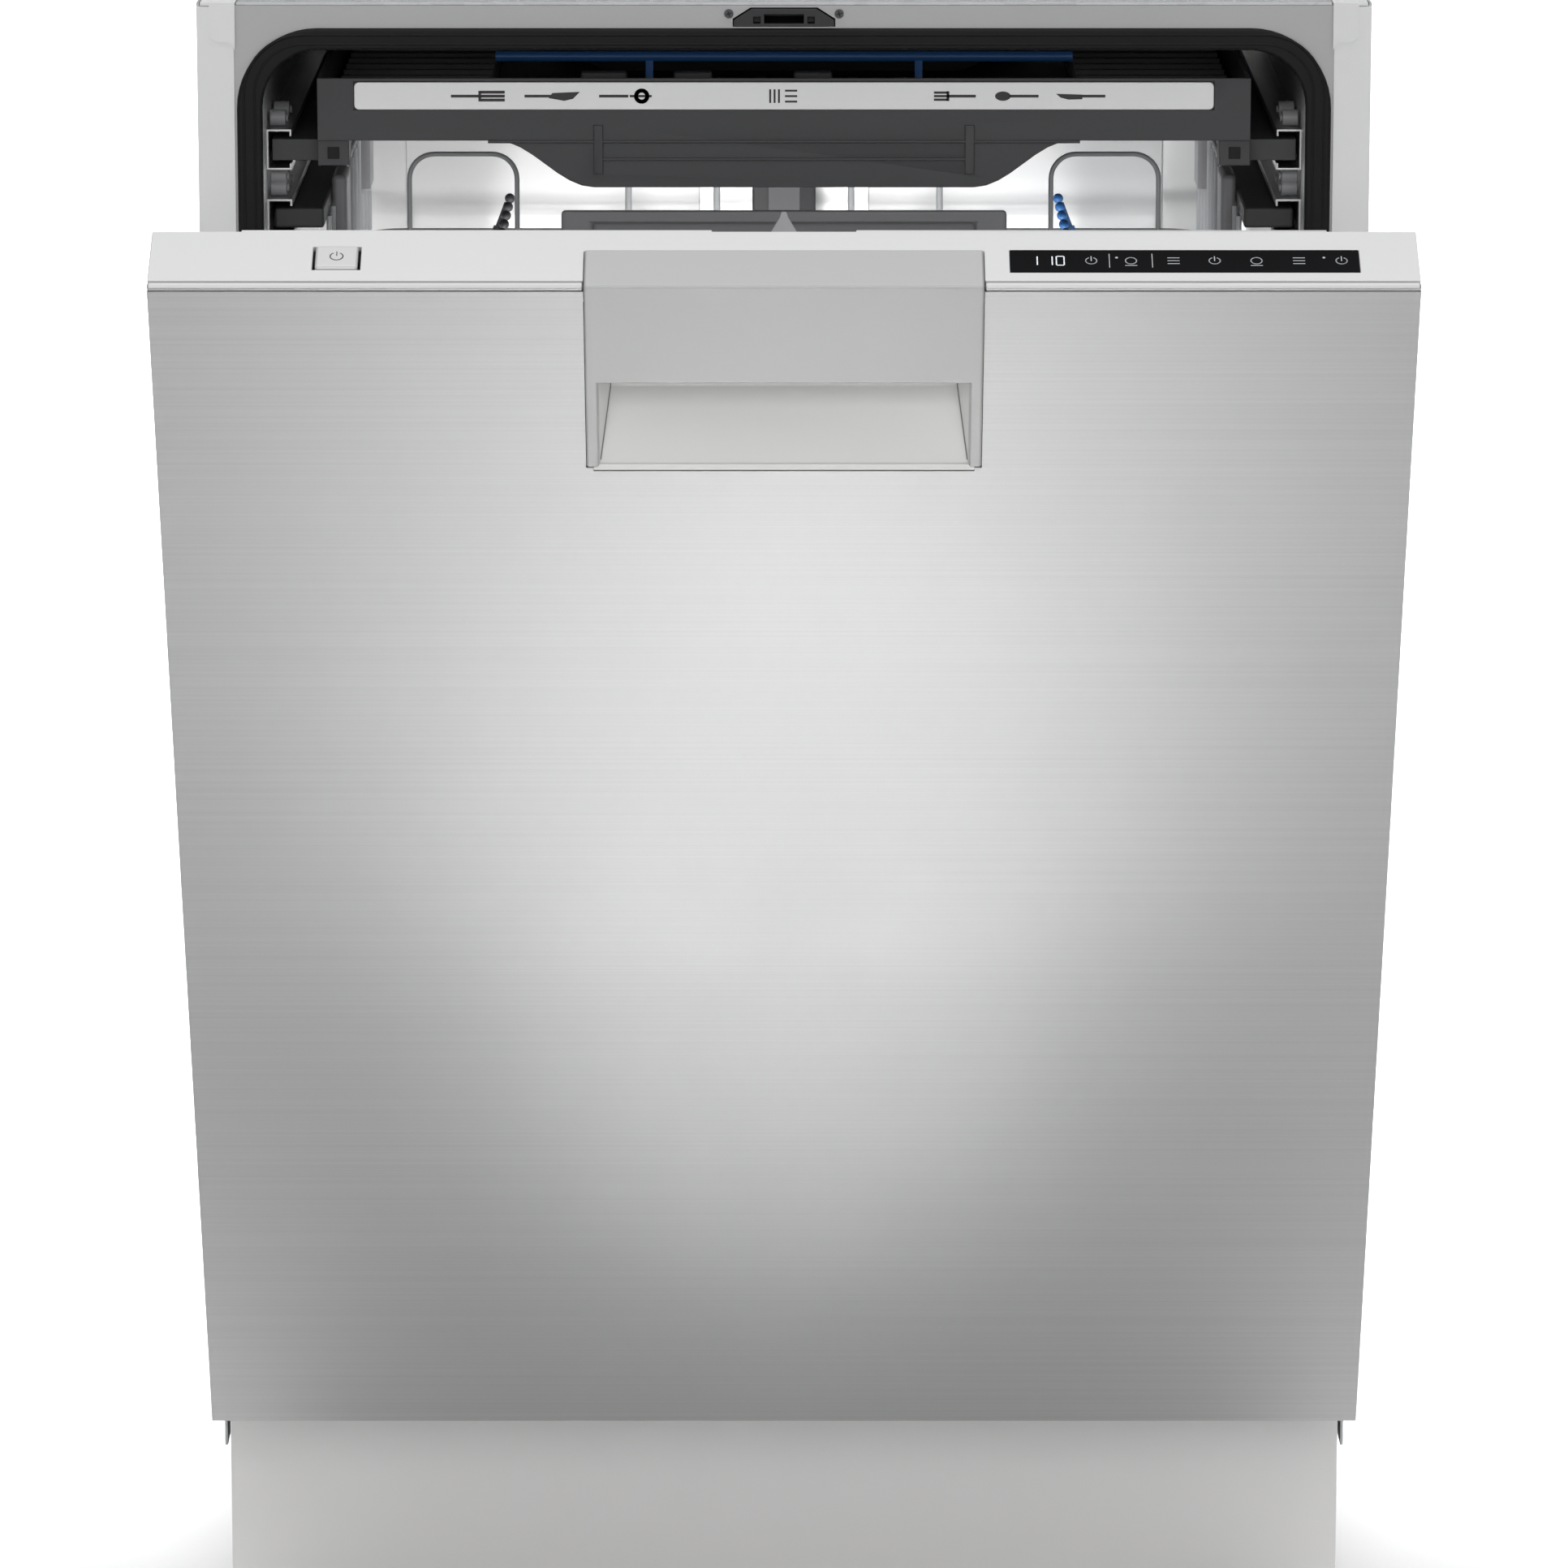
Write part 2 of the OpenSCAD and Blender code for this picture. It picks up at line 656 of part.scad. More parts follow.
pocket_z0 = door_top - handle_plate_h - grip_h;
pocket_half = handle_w / 2 - 6.5;
pocket_d = door_t - 17;
cap_d = 28.7;                              // depth of the handle's cap on the door's top edge

// The wedge that the handle's grip pocket takes out of the door, grown by a clearance
module pocket_space(c) {
    translate([-pocket_half - c, 0, 0]) rotate([90, 0, 90]) linear_extrude(2 * pocket_half + 2 * c) polygon([
        [door_front - 5, pocket_z0 - c], [door_front + 1, pocket_z0 - c],
        [door_front + pocket_d + c, pocket_z0 + grip_h * 0.55],
        [door_front + pocket_d + c, door_top - 14 + c], [door_front - 5, door_top - 14 + c]]);
}

module door_panel() {
    color("silver") on_door() difference() {
        union() {
            block([-half_w, door_front, door_low],
                [half_w, door_front + door_skin, door_top - fascia_t]);
            both_sides() block([half_w - door_skin, door_front + door_skin, door_low],
                [half_w, door_back - 8, door_top - fascia_t]);
            block([-hinge_slot, door_front + door_skin, door_low],
                [hinge_slot, door_back - 8, door_low + door_skin]);
        }
        pocket_space(3);
        block([-handle_w / 2, door_front - 1, pocket_z0 - 1], [handle_w / 2, door_front + 2, door_top]);
    }
}

fascia_back = door_back;
key_x = key_inset - half_w;
display_x0 = half_w - display_inset - display_w;
fascia_margin = 11.5;                      // from the door's front to the display
display_d = 18.5;
display_y0 = door_front + fascia_margin;
key_d = 18;
key_slot = 1.3;                            // open slot at each side of the key
key_y0 = door_front + fascia_margin + 2.5;

lip_x0 = latch_half + 8;                   // the rim behind the fascia stops beside the latch
lip_x1 = half_w - 42;
lip_d = 3;

module door_fascia() {
    color("silver") on_door() difference() {
        union() {
            block([-half_w, door_front, door_top - fascia_t], [half_w, fascia_back, door_top]);
            block([-half_w + door_skin + gap, door_back - 4, door_top - 16],
                [half_w - door_skin - gap, door_back, door_top - fascia_t]);
            both_sides() block([lip_x0, door_back - 1, mouth_top + 1], [lip_x1, door_back + lip_d, door_top - 1]);
        }
        block([-handle_w / 2, door_front - 1, door_top - fascia_t - 1],
            [handle_w / 2, door_front + cap_d + 0.3, door_top + 1]);
        block([display_x0, display_y0, door_top - fascia_t - 1],
            [display_x0 + display_w, display_y0 + display_d, door_top + 1]);
        block([key_x - key_w / 2 - key_slot, key_y0 - gap, door_top - fascia_t - 1],
            [key_x + key_w / 2 + key_slot, key_y0 + key_d + gap, door_top + 1]);
        block([-tongue_half - gap, door_back - tongue_root - gap, tongue_z - gap],
            [tongue_half + gap, door_back + 1, tongue_z + tongue_t + gap]);
    }
}

liner_half = half_w - door_skin - gap;
bulge_half = seal_half - 6;
bulge_low = base_h + 13;
bulge_top = seal_top - 1.5;
liner_t = 1.2;
bulge_r = 24;
dispenser_x = 60;
dispenser_w = 150;
dispenser_h = 170;
dispenser_z = door_top - 350;

// The pressed inner door: a flat rim with a shallow round-cornered bulge that enters the tub
module door_liner() {
    color("gainsboro") on_door() difference() {
        union() {
            block([-liner_half, door_back - liner_t, door_low + 3], [liner_half, door_back, door_top - 16]);
            rounded_slab(-bulge_half, bulge_low, bulge_half, bulge_top, bulge_r,
                door_back - liner_t, door_back + bulge_d);
        }
        rounded_slab(-bulge_half + liner_t, bulge_low + liner_t, bulge_half - liner_t, bulge_top - liner_t,
            bulge_r - liner_t, door_back - liner_t - 1, door_back + bulge_d - liner_t);
        block([dispenser_x - dispenser_w / 2, door_back - 5, dispenser_z],
            [dispenser_x + dispenser_w / 2, door_back + bulge_d + 1, dispenser_z + dispenser_h]);
        both_sides() block([hinge_slot, door_back - 5, 0], [half_w, door_back + 1, hinge_notch_top]);
    }
}

felt_t = 20;                               // sound-deadening felt against the skin
module door_insulation() {
    color([0.25, 0.25, 0.26]) on_door() difference() {
        block([-hinge_slot, door_front + door_skin + gap, door_low + 3 * door_skin],
            [hinge_slot, door_front + door_skin + gap + felt_t, door_top - 24]);
        pocket_space(5);
        block([-handle_w / 2 - 3, door_front, pocket_z0 - 4], [handle_w / 2 + 3, door_front + 6, door_top]);
        block([dispenser_x - dispenser_w / 2 - 2, door_back - 34, dispenser_z - 2],
            [dispenser_x + dispenser_w / 2 + 2, door_back, dispenser_z + dispenser_h + 2]);
    }
}

hinge_foot_t = 1.4;                        // the plate that is screwed to the inner side of the skin
module door_hinge_arms() {
    color("gray") on_door() both_sides() difference() {
        union() {
            block([hinge_x0, door_front + 8, pivot_z - 12],
                [hinge_x0 + hinge_arm_t, door_back - 3, pivot_z + 150]);
            block([hinge_x0 - hinge_foot_t, door_front + 8, pivot_z + 50],
                [hinge_x0, door_front + 24, pivot_z + 140]);
        }
        rod_x(hinge_x0 - 3, hinge_x0 + hinge_arm_t + 1, pivot_y, pivot_z, hinge_pin_r + running);
    }
}

// The pointed tongue that enters the latch
module door_striker() {
    color("gray") on_door() union() {
        translate([0, door_back, tongue_z]) linear_extrude(tongue_t) polygon([
            [-tongue_half, -tongue_root], [tongue_half, -tongue_root], [tongue_half, 2],
            [2.2, tongue_l - 5], [1.2, tongue_l], [-1.2, tongue_l], [-2.2, tongue_l - 5], [-tongue_half, 2]]);
    }
}

// Cap, front plate and the two cheeks beside the grip, in one moulding
module handle_trim() {
    color([0.75, 0.75, 0.75]) on_door() union() {
        block([-handle_w / 2 + 0.3, handle_front, door_top - fascia_t],
            [handle_w / 2 - 0.3, door_front + cap_d, handle_top]);
        block([-handle_w / 2 + 0.3, handle_front, door_top - handle_plate_h],
            [handle_w / 2 - 0.3, door_front + 1.5, door_top - fascia_t]);
        both_sides() block([pocket_half + 0.3, handle_front, pocket_z0],
            [handle_w / 2 - 0.3, door_front + 1.5, door_top - handle_plate_h]);
    }
}

// The bowl behind the plate: its back slopes out to the door's face at the foot of the grip
module handle_pocket() {
    bowl = 1.8;
    color([0.86, 0.86, 0.85]) on_door() difference() {
        pocket_space(bowl);
        pocket_space(0);
        block([-handle_w, door_front - 20, 0], [handle_w, door_front + 1.6, body_h]);
    }
}

module display_window() {
    color([0.02, 0.02, 0.03]) on_door() block([display_x0 + 0.2, display_y0 + 0.2, door_top - fascia_t],
        [display_x0 + display_w - 0.2, display_y0 + display_d - 0.2, door_top + 0.2]);
}

key_proud = 1.2;
module power_key() {
    color([0.8, 0.8, 0.8]) on_door() union() {
        block([key_x - key_w / 2, key_y0, door_top - fascia_t],
            [key_x + key_w / 2, key_y0 + key_d, door_top + key_proud]);
        block([key_x - 4, key_y0 + 4, door_top - fascia_t - 5],
            [key_x + 4, key_y0 + 12, door_top - fascia_t]);
    }
}

lid_w = 74;
lid_h = 78;
lid_x = dispenser_x - 12;
lid_z = dispenser_z + 46;
lid_y = door_back + bulge_d + 2;
lid_pin_y = lid_y + 3.4;
lid_pin_z = lid_z - 4.5;
module dispenser() {
    color([0.75, 0.76, 0.78]) on_door() difference() {
        union() {
            block([dispenser_x - dispenser_w / 2 + gap, door_back - 30, dispenser_z + gap],
                [dispenser_x + dispenser_w / 2 - gap, door_back + bulge_d, dispenser_z + dispenser_h - gap]);
            block([dispenser_x - dispenser_w / 2 - 4, door_back + bulge_d, dispenser_z - 4],
                [dispenser_x + dispenser_w / 2 + 4, door_back + bulge_d + 2, dispenser_z + dispenser_h + 4]);
            rod_x(lid_x - lid_w / 2 + 5, lid_x + lid_w / 2 - 5, lid_pin_y, lid_pin_z, 1.5);
            for (x = [lid_x - lid_w / 2 + 3, lid_x + lid_w / 2 - 6])
                block([x, lid_y - 1, lid_pin_z - 2.5], [x + 3, lid_pin_y + 2, lid_pin_z + 2.5]);
        }
        block([lid_x - lid_w / 2 + 6, door_back - 22, lid_z + 6],
            [lid_x + lid_w / 2 - 6, door_back + bulge_d + 3, lid_z + lid_h - 6]);
        rod_y(rinse_x, door_back - 20, door_back + bulge_d + 3, rinse_z, rinse_r);
    }
}
rinse_x = dispenser_x + 53;
rinse_z = dispenser_z + 120;
rinse_r = 13;
module rinse_aid_cap() {
    color([0.2, 0.22, 0.25]) on_door() union() {
        rod_y(rinse_x, door_back - 6, door_back + bulge_d + 2, rinse_z, rinse_r - running);
        rod_y(rinse_x, door_back + bulge_d + 2 + gap, door_back + bulge_d + 6, rinse_z, rinse_r + 4);
        rod_y(rinse_x, door_back + bulge_d + 1, door_back + bulge_d + 3, rinse_z, rinse_r - 2);
        block([rinse_x - rinse_r, door_back + bulge_d + 6, rinse_z - 2],
            [rinse_x + rinse_r, door_back + bulge_d + 9, rinse_z + 2]);
    }
}
module dispenser_lid() {
    barrel_half = lid_w / 2 - 8;
    color([0.7, 0.72, 0.75]) on_door() difference() {
        union() {
            block([lid_x - lid_w / 2, lid_y + 0.4, lid_z], [lid_x + lid_w / 2, lid_y + 3, lid_z + lid_h]);
            block([lid_x - barrel_half, lid_y + 0.4, lid_pin_z], [lid_x + barrel_half, lid_y + 3, lid_z]);
            rod_x(lid_x - barrel_half, lid_x + barrel_half, lid_pin_y, lid_pin_z, 2.9);
        }
        rod_x(lid_x - lid_w, lid_x + lid_w, lid_pin_y, lid_pin_z, 1.5 + running);
    }
}

// ---------------------------------------------------------------- cutlery tray

// Half outline of the tray's cross-section, from its wing to its deep middle, inside a wall of t
function tray_half(t) = concat(
    [[rack_half - t, tray_top + (t > 0 ? 1 : 0)], [rack_half - t, tray_wing + t]],
    [for (i = [0:8]) let (u = i / 8)
        [tray_slope_out + (tray_slope_in - tray_slope_out) * u - t * 0.4,
         tray_wing + t + (tray_deep - tray_wing) * (1 - cos(180 * u)) / 2]]);
function mirrored(points) = [for (i = [len(points) - 1:-1:0]) [-points[i][0], points[i][1]]];
module tray_solid(t, y0, y1) {
    translate([0, y1, 0]) rotate([90, 0, 0]) linear_extrude(y1 - y0)
        polygon(concat(tray_half(t), mirrored(tray_half(t))));
}
runner_half = tub_half - 3;
module cutlery_tray() {
    color([0.2, 0.2, 0.2]) placed() union() {
        difference() {
            tray_solid(0, tray_front, rack_back);
            tray_solid(tray_wall, tray_front + tray_wall, rack_back - tray_wall);
            block([-strip_half - 0.2, tray_front - 1, strip_z0 - 0.2],
                [strip_half + 0.2, tray_front + 1, strip_z1 + 0.2]);
        }
        both_sides() {
            block([rack_half - 16, tray_front + 2, tray_wing - 13], [rack_half, tray_front + 24, tray_wing]);
            block([tray_slope_in - 4.6, tray_front - 1.2, tray_deep + 7],
                [tray_slope_in, tray_front, strip_z0 - 8]);
            block([rack_half, rail_front, tray_rail_z + 5],
                [runner_half, rack_back, tray_rail_z + rail_h - 5]);
            block([rack_half - 3, rail_front, tray_rail_z + 5], [rack_half, rack_back, tray_wing + 2]);
        }
    }
}
strip_half = rack_half - 19;
strip_z1 = tray_top - 2;
strip_z0 = strip_z1 - 14;
strip_r = 2.5;
module tray_front_strip() {
    color("silver") placed()
        rounded_slab(-strip_half, strip_z0, strip_half, strip_z1, strip_r, tray_front - 1, tray_front + 1);
}

insert_z = tray_wing + tray_wall;
insert_pitch = 24;
insert_wall = 2.5;
insert_wall_h = 14;
blue_rest_half = 150;
blue_rest_y = tray_front + 92;
blue_leg_x = 70;
blue_rest_z = tray_top;
// Slotted racks for the cutlery: one in each wing, and the long rest across the middle
module cutlery_inserts() {
    insert_w = tray_wing_w - 12;
    insert_d = rack_back - tray_front - 80;
    color([0.13, 0.13, 0.14]) placed() {
        both_sides() translate([tray_slope_out + 6, tray_front + 40, insert_z]) union() {
            cube([insert_w, insert_d, 2]);
            for (i = [0:insert_d / insert_pitch - 1]) translate([0, 8 + i * insert_pitch, 2])
                cube([insert_w, insert_wall, insert_wall_h]);
        }
    }
    color([0.05, 0.3, 0.7]) placed() union() {
        rod_x(-blue_rest_half, blue_rest_half, blue_rest_y, blue_rest_z, 2.8);
        for (x = [-blue_leg_x, blue_leg_x])
            block([x - 2, blue_rest_y - 2, tray_deep + tray_wall], [x + 2, blue_rest_y + 2, blue_rest_z]);
    }
}

// ---------------------------------------------------------------- upper basket

upper_front_drop = 20;
upper_back_drop = 70;
module upper_basket() {
    color("lightgray") placed() union() {
        basket(rack_half, rack_front, rack_back, upper_low, upper_top,
            upper_front_drop, upper_back_drop);
        both_sides() block([rack_half - wire, rail_front, basket_rail_z + 5],
            [runner_half, rack_back, basket_rail_z + rail_h - 5]);
    }
}
module upper_basket_handle() {
    handle_half = basket_handle_w / 2;
    color("gray") placed() difference() {
        block([-handle_half, rack_front - 7, upper_top - 18],
            [handle_half, rack_front - gap, upper_top + 4]);
        block([-handle_half + 16, rack_front - 8, upper_top - 12],
            [handle_half - 16, rack_front - 3, upper_top - 2]);
    }
}
spike_pitch = 34;
spike_l = 100;
spike_lean = 20;                           // angle of a comb from upright
spike_inset = 52;                          // from the basket's side to the foot of a comb
// Two combs of soft fingers that lean towards the middle of the basket
module soft_spikes() {
    color([0.1, 0.25, 0.5]) placed() both_sides() translate([spike_inset - rack_half, 0, upper_low + wire + 1.6])
        rotate([0, spike_lean, 0]) translate([-2, rest_y + 160, 0]) union() {
            cube([4, 5 * spike_pitch + 6, 6]);
            for (i = [0:5]) translate([0, i * spike_pitch, 0]) cube([4, 6, spike_l]);
        }
}
rest_y = rack_front + 72;
rest_z = upper_low + wire + 6;
rest_top = tray_wing - 18;
rest_x = rack_half - rest_inset;
rest_r = wire / 2 + 0.3;
// Two wire hoops on one line, each standing up or folded back onto the basket's floor
module glass_rests() {
    color("silver") placed() both_sides() translate([rest_x, rest_y, 0]) union() {
        rod_x(-rest_w / 2 - 8, rest_w / 2 + 8, 0, rest_z, wire / 2);
        for (x = [-rest_w / 2, rest_w / 2]) rod_z(x, 0, rest_z, rest_top, rest_r);
        rod_x(-rest_w / 2, rest_w / 2, 0, rest_top, rest_r);
    }
}

// ---------------------------------------------------------------- lower basket

lower_front_drop = 45;                     // the front wall stands this much lower than the others
module lower_basket() {
    color("lightgray") placed()
        basket(rack_half, rack_front, rack_back, lower_low, lower_top, lower_front_drop, 0);
}
wheel_y = [rack_front + 60, rack_back - 60];
wheel_z = tub_floor + wheel_r + 0.3;
wheel_t = 8;
wheel_play = 2;
axle_r = 2.5;
carrier_half = 7;
carrier_t = 4;
// Clips under the basket's sides, each with the axle of one wheel
module wheel_carriers() {
    color([0.35, 0.35, 0.37]) placed() both_sides() for (y = wheel_y) union() {
        block([rack_half - carrier_t, y - carrier_half, wheel_z - 2 * axle_r],
            [rack_half, y + carrier_half, lower_low]);
        rod_x(rack_half - carrier_t, rack_half + wheel_play + wheel_t + 0.5, y, wheel_z, axle_r);
    }
}
module wheels(y) {
    color([0.35, 0.35, 0.37]) placed() both_sides() difference() {
        rod_x(rack_half + wheel_play, rack_half + wheel_play + wheel_t, y, wheel_z, wheel_r);
        rod_x(rack_half, rack_half + wheel_play + wheel_t + 1, y, wheel_z, axle_r + running);
    }
}
module wheels_front() { wheels(wheel_y[0]); }
module wheels_rear() { wheels(wheel_y[1]); }
module lower_basket_handle() {
    handle_half = basket_handle_w / 2;
    front_top = lower_top - lower_front_drop;
    color("gray") placed() difference() {
        block([-handle_half, rack_front - 7, front_top - 14],
            [handle_half, rack_front - gap, front_top + 6]);
        block([-handle_half + 16, rack_front - 8, front_top - 9],
            [handle_half - 16, rack_front - 3, front_top]);
    }
}
rack_row_x = 120;
tine_h = 88;
tine_count = 10;
// A row of plate tines on a wire that turns in the basket's floor
module plate_rack() {
    tine_pitch = (rack_back - rack_front - 140) / (tine_count - 1);
    rod_y(0, rack_front + 60, rack_back - 60, lower_low + wire + 4, wire / 2);
    for (i = [0:tine_count - 1]) rod_z(0, rack_front + 70 + i * tine_pitch, lower_low + wire + 4,
        lower_low + tine_h, wire / 2 - 0.2);
}
module plate_rack_left() { color("lightgray") placed() translate([-rack_row_x, 0, 0]) plate_rack(); }
module plate_rack_right() { color("lightgray") placed() translate([rack_row_x, 0, 0]) plate_rack(); }

tub();
front_frame();
side_panels();
top_panel();
rear_panel();
base_tray();
plinth_panel();
levelling_feet();
door_seal();
side_trims();
corner_brackets();
latch_housing();
latch_screws();
hinge_brackets();
balance_springs();
sump();
circulation_pump();
drain_pump();
water_softener();
water_chamber();
inlet_valve();
drain_outlet();
mains_gland();
water_duct();
filter_plate();
filter_cylinder();
salt_cap();
tray_rails();
basket_rails();
ceiling_spray_arm();
lower_spray_arm();
satellite_spray_arm();
door_panel();
door_fascia();
door_liner();
door_insulation();
door_hinge_arms();
door_striker();
handle_trim();
handle_pocket();
display_window();
power_key();
dispenser();
dispenser_lid();
rinse_aid_cap();
cutlery_tray();
tray_front_strip();
cutlery_inserts();
upper_basket();
upper_basket_handle();
soft_spikes();
glass_rests();
middle_spray_arm();
lower_basket();
lower_basket_handle();
plate_rack_left();
plate_rack_right();
wheel_carriers();
wheels_front();
wheels_rear();
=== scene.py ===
import json
from math import cos, pi, radians, sin, tan, tau
import bmesh
import bpy
from mathutils import Matrix, Vector


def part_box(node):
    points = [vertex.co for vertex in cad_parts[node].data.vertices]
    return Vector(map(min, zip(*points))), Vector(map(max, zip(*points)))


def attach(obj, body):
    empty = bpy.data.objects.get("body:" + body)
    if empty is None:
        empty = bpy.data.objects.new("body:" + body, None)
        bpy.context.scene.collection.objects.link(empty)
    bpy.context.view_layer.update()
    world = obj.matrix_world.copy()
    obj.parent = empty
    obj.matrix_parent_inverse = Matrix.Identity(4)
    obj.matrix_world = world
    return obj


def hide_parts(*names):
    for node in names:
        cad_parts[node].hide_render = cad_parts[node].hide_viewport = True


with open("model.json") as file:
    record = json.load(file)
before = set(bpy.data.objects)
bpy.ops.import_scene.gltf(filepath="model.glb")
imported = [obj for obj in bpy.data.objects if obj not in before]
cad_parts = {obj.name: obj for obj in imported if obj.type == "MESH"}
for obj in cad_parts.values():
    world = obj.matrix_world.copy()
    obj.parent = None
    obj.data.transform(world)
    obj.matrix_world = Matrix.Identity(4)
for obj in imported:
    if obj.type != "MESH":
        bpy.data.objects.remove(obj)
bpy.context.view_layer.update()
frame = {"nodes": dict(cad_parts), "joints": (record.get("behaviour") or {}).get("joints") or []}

scene = bpy.context.scene

# ---- Camera and studio
# A long lens far in front of the machine and a little above it, looking down by twelve degrees.
# The floor and the wall behind it are plain and pale, and the light comes from large soft panels.
machine_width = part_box("side_panels")[1].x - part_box("side_panels")[0].x
front_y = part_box("front_frame")[0].y
view_pitch = radians(12)
view_distance = 7.07 * machine_width
view_height = 2.263 * machine_width
lens_mm = 191.3

camera = bpy.data.objects.new("camera", bpy.data.cameras.new("camera"))
camera.data.lens = lens_mm
camera.data.sensor_width = 36
camera.data.clip_end = 50
camera.location = (0, front_y - view_distance, view_height)
camera.rotation_euler = (pi / 2 - view_pitch, 0, 0)
scene.collection.objects.link(camera)
scene.camera = camera
scene.view_settings.view_transform = "Standard"


def panel_light(name, place, target, size, watts, spread=180):
    """A rectangular soft light at place, facing target, that shines within an angle of spread degrees."""
    lamp = bpy.data.lights.new(name, "AREA")
    lamp.shape = "RECTANGLE"
    lamp.size, lamp.size_y = size
    lamp.energy = watts
    lamp.spread = radians(spread)
    holder = bpy.data.objects.new(name, lamp)
    holder.location = place
    holder.rotation_euler = (Vector(target) - Vector(place)).to_track_quat("-Z", "Y").to_euler()
    scene.collection.objects.link(holder)
    return holder


panel_light("overhead", (0, front_y - 0.1, 2.6), (0, front_y, 0.6), (2.4, 1.6), 15)
panel_light("front_fill", (0, front_y - 3.2, 1.5), (0, front_y, 0.5), (2.6, 1.2), 24)
# Narrow beams light the floor before the door. They don't show in the steel themselves.
for reach, watts, spread in ((0.32, 0.22, 14), (0.46, 0.36, 20), (0.70, 0.50, 24)):
    beam = panel_light("floor_beam", (0, front_y - 0.95, 1.5), (0, front_y - reach, 0), (0.1, 0.06),
                       watts, spread)
    beam.visible_glossy = False
panel_light("tub_glow", (0, front_y + 0.25, 0.56), (0, front_y + 0.52, 0.74), (0.4, 0.1), 1.7)
panel_light("back_wash", (0, front_y + 3.2, 2.4), (0, front_y + 3.4, 0), (4.0, 2.4), 170, 90)
for side in (-1, 1):
    panel_light("side_wash", (side * 1.1, front_y + 0.9, 2.2), (side * 0.9, front_y + 0.9, 0), (0.8, 1.0),
                22, 50)

world = bpy.data.worlds.new("studio")
world.use_nodes = True
world.node_tree.nodes["Background"].inputs["Color"].default_value = (0.94, 0.95, 0.96, 1)
world.node_tree.nodes["Background"].inputs["Strength"].default_value = 0.42
scene.world = world


# ---- Door skin
# The outer panel of the door is one sheet of stainless steel, folded back along its sides and foot.
# It is brushed from side to side, so it mirrors its surroundings in long vertical smears.

class Value:
    """A shader socket in an expression: sums and products of Values add the Math nodes they need."""

    def __init__(self, finish, socket):
        self.finish = finish
        self.socket = socket

    def maths(self, operation, *others):
        inputs = {i: other for i, other in enumerate((self,) + others)}
        return self.finish.node("ShaderNodeMath", {"operation": operation}, inputs)

    def __add__(self, other):
        return self.maths("ADD", other)

    __radd__ = __add__

    def __mul__(self, other):
        return self.maths("MULTIPLY", other)

    __rmul__ = __mul__

    def __sub__(self, other):
        return self.maths("SUBTRACT", other)

    def __rsub__(self, other):
        return self * -1 + other

    def __truediv__(self, other):
        return self.maths("DIVIDE", other)

    def __gt__(self, other):
        return self.maths("GREATER_THAN", other)

    def __lt__(self, other):
        return self.maths("LESS_THAN", other)


class Finish:
    """A material with one Principled shader. Its constants are set on the shader's own sockets."""

    def __init__(self, name, colour, roughness, metallic=0.0, **constants):
        self.material = bpy.data.materials.new(name)
        self.material.use_nodes = True
        self.tree = self.material.node_tree
        self.shader = self.tree.nodes["Principled BSDF"]
        constants.update({"Base Color": (*colour, 1), "Roughness": roughness, "Metallic": metallic})
        for socket, value in constants.items():
            self.shader.inputs[socket.replace("_", " ")].default_value = value

    def node(self, kind, settings, inputs, output=0):
        """Adds a node: its settings first, then the values or links of its sockets."""
        made = self.tree.nodes.new(kind)
        for name, setting in settings.items():
            if name == "stops":
                for stop, (place, colour) in zip(made.color_ramp.elements, setting):
                    stop.position = place
                    stop.color = colour
            else:
                setattr(made, name, setting)
        for name, value in inputs.items():
            if isinstance(value, Value):
                self.tree.links.new(value.socket, made.inputs[name])
            else:
                made.inputs[name].default_value = value
        return Value(self, made.outputs[output])

    def feed(self, socket, value):
        self.tree.links.new(value.socket, self.shader.inputs[socket])

    def place(self, scale=(1, 1, 1), turn=(0, 0, 0)):
        """The point on the piece, in metres, turned and stretched."""
        point = self.node("ShaderNodeTexCoord", {}, {}, "Object")
        return self.node("ShaderNodeMapping", {}, {"Vector": point, "Rotation": turn, "Scale": scale})

    def noise(self, scale, stretch=(1, 1, 1), turn=(0, 0, 0), detail=2.0):
        """Smooth noise from 0 to 1 whose grains are 1 / scale metres across."""
        sized = {"Vector": self.place(stretch, turn), "Scale": scale, "Detail": detail}
        return self.node("ShaderNodeTexNoise", {}, sized)

    def bump(self, height, depth, strength=1.0):
        self.feed("Normal", self.node("ShaderNodeBump", {}, {"Height": height, "Distance": depth,
                                                             "Strength": strength}))

    def mix(self, share, colour_a, colour_b):
        """Two colours blended by a Value from 0 to 1."""
        inputs = {0: share, 6: (*colour_a, 1), 7: (*colour_b, 1)}
        return self.node("ShaderNodeMix", {"data_type": "RGBA"}, inputs, 2)

    def shades(self, share, colour, dark, light):
        """The base colour blended by a Value between a darker and a lighter shade."""
        darker = [c * dark for c in colour]
        lighter = [min(c * light, 1) for c in colour]
        self.feed("Base Color", self.mix(share, darker, lighter))


def brushed(name, colour, roughness, turn=(0, 0, 0), along=(1.5, 700, 700)):
    """Brushed metal with its scratches along X."""
    finish = Finish(name, colour, roughness, 1.0, Anisotropic=0.55)
    streak = finish.noise(1, along, turn, 3.0)
    cloud = finish.noise(3.0)
    finish.feed("Roughness", streak * 0.16 + cloud * 0.06 + (roughness - 0.11))
    finish.shades(streak, colour, 0.9, 1.08)
    finish.bump(streak, 0.00002, 0.25)
    return finish.material


hinge = next(joint for joint in frame["joints"] if joint["name"] == "door_hinge")
hinge_pin = Vector(hinge["pos_m"])
ajar = -radians(hinge["range_deg"][0])
lean = Matrix.Translation(hinge_pin) @ Matrix.Rotation(ajar, 4, "X") @ Matrix.Translation(-hinge_pin)


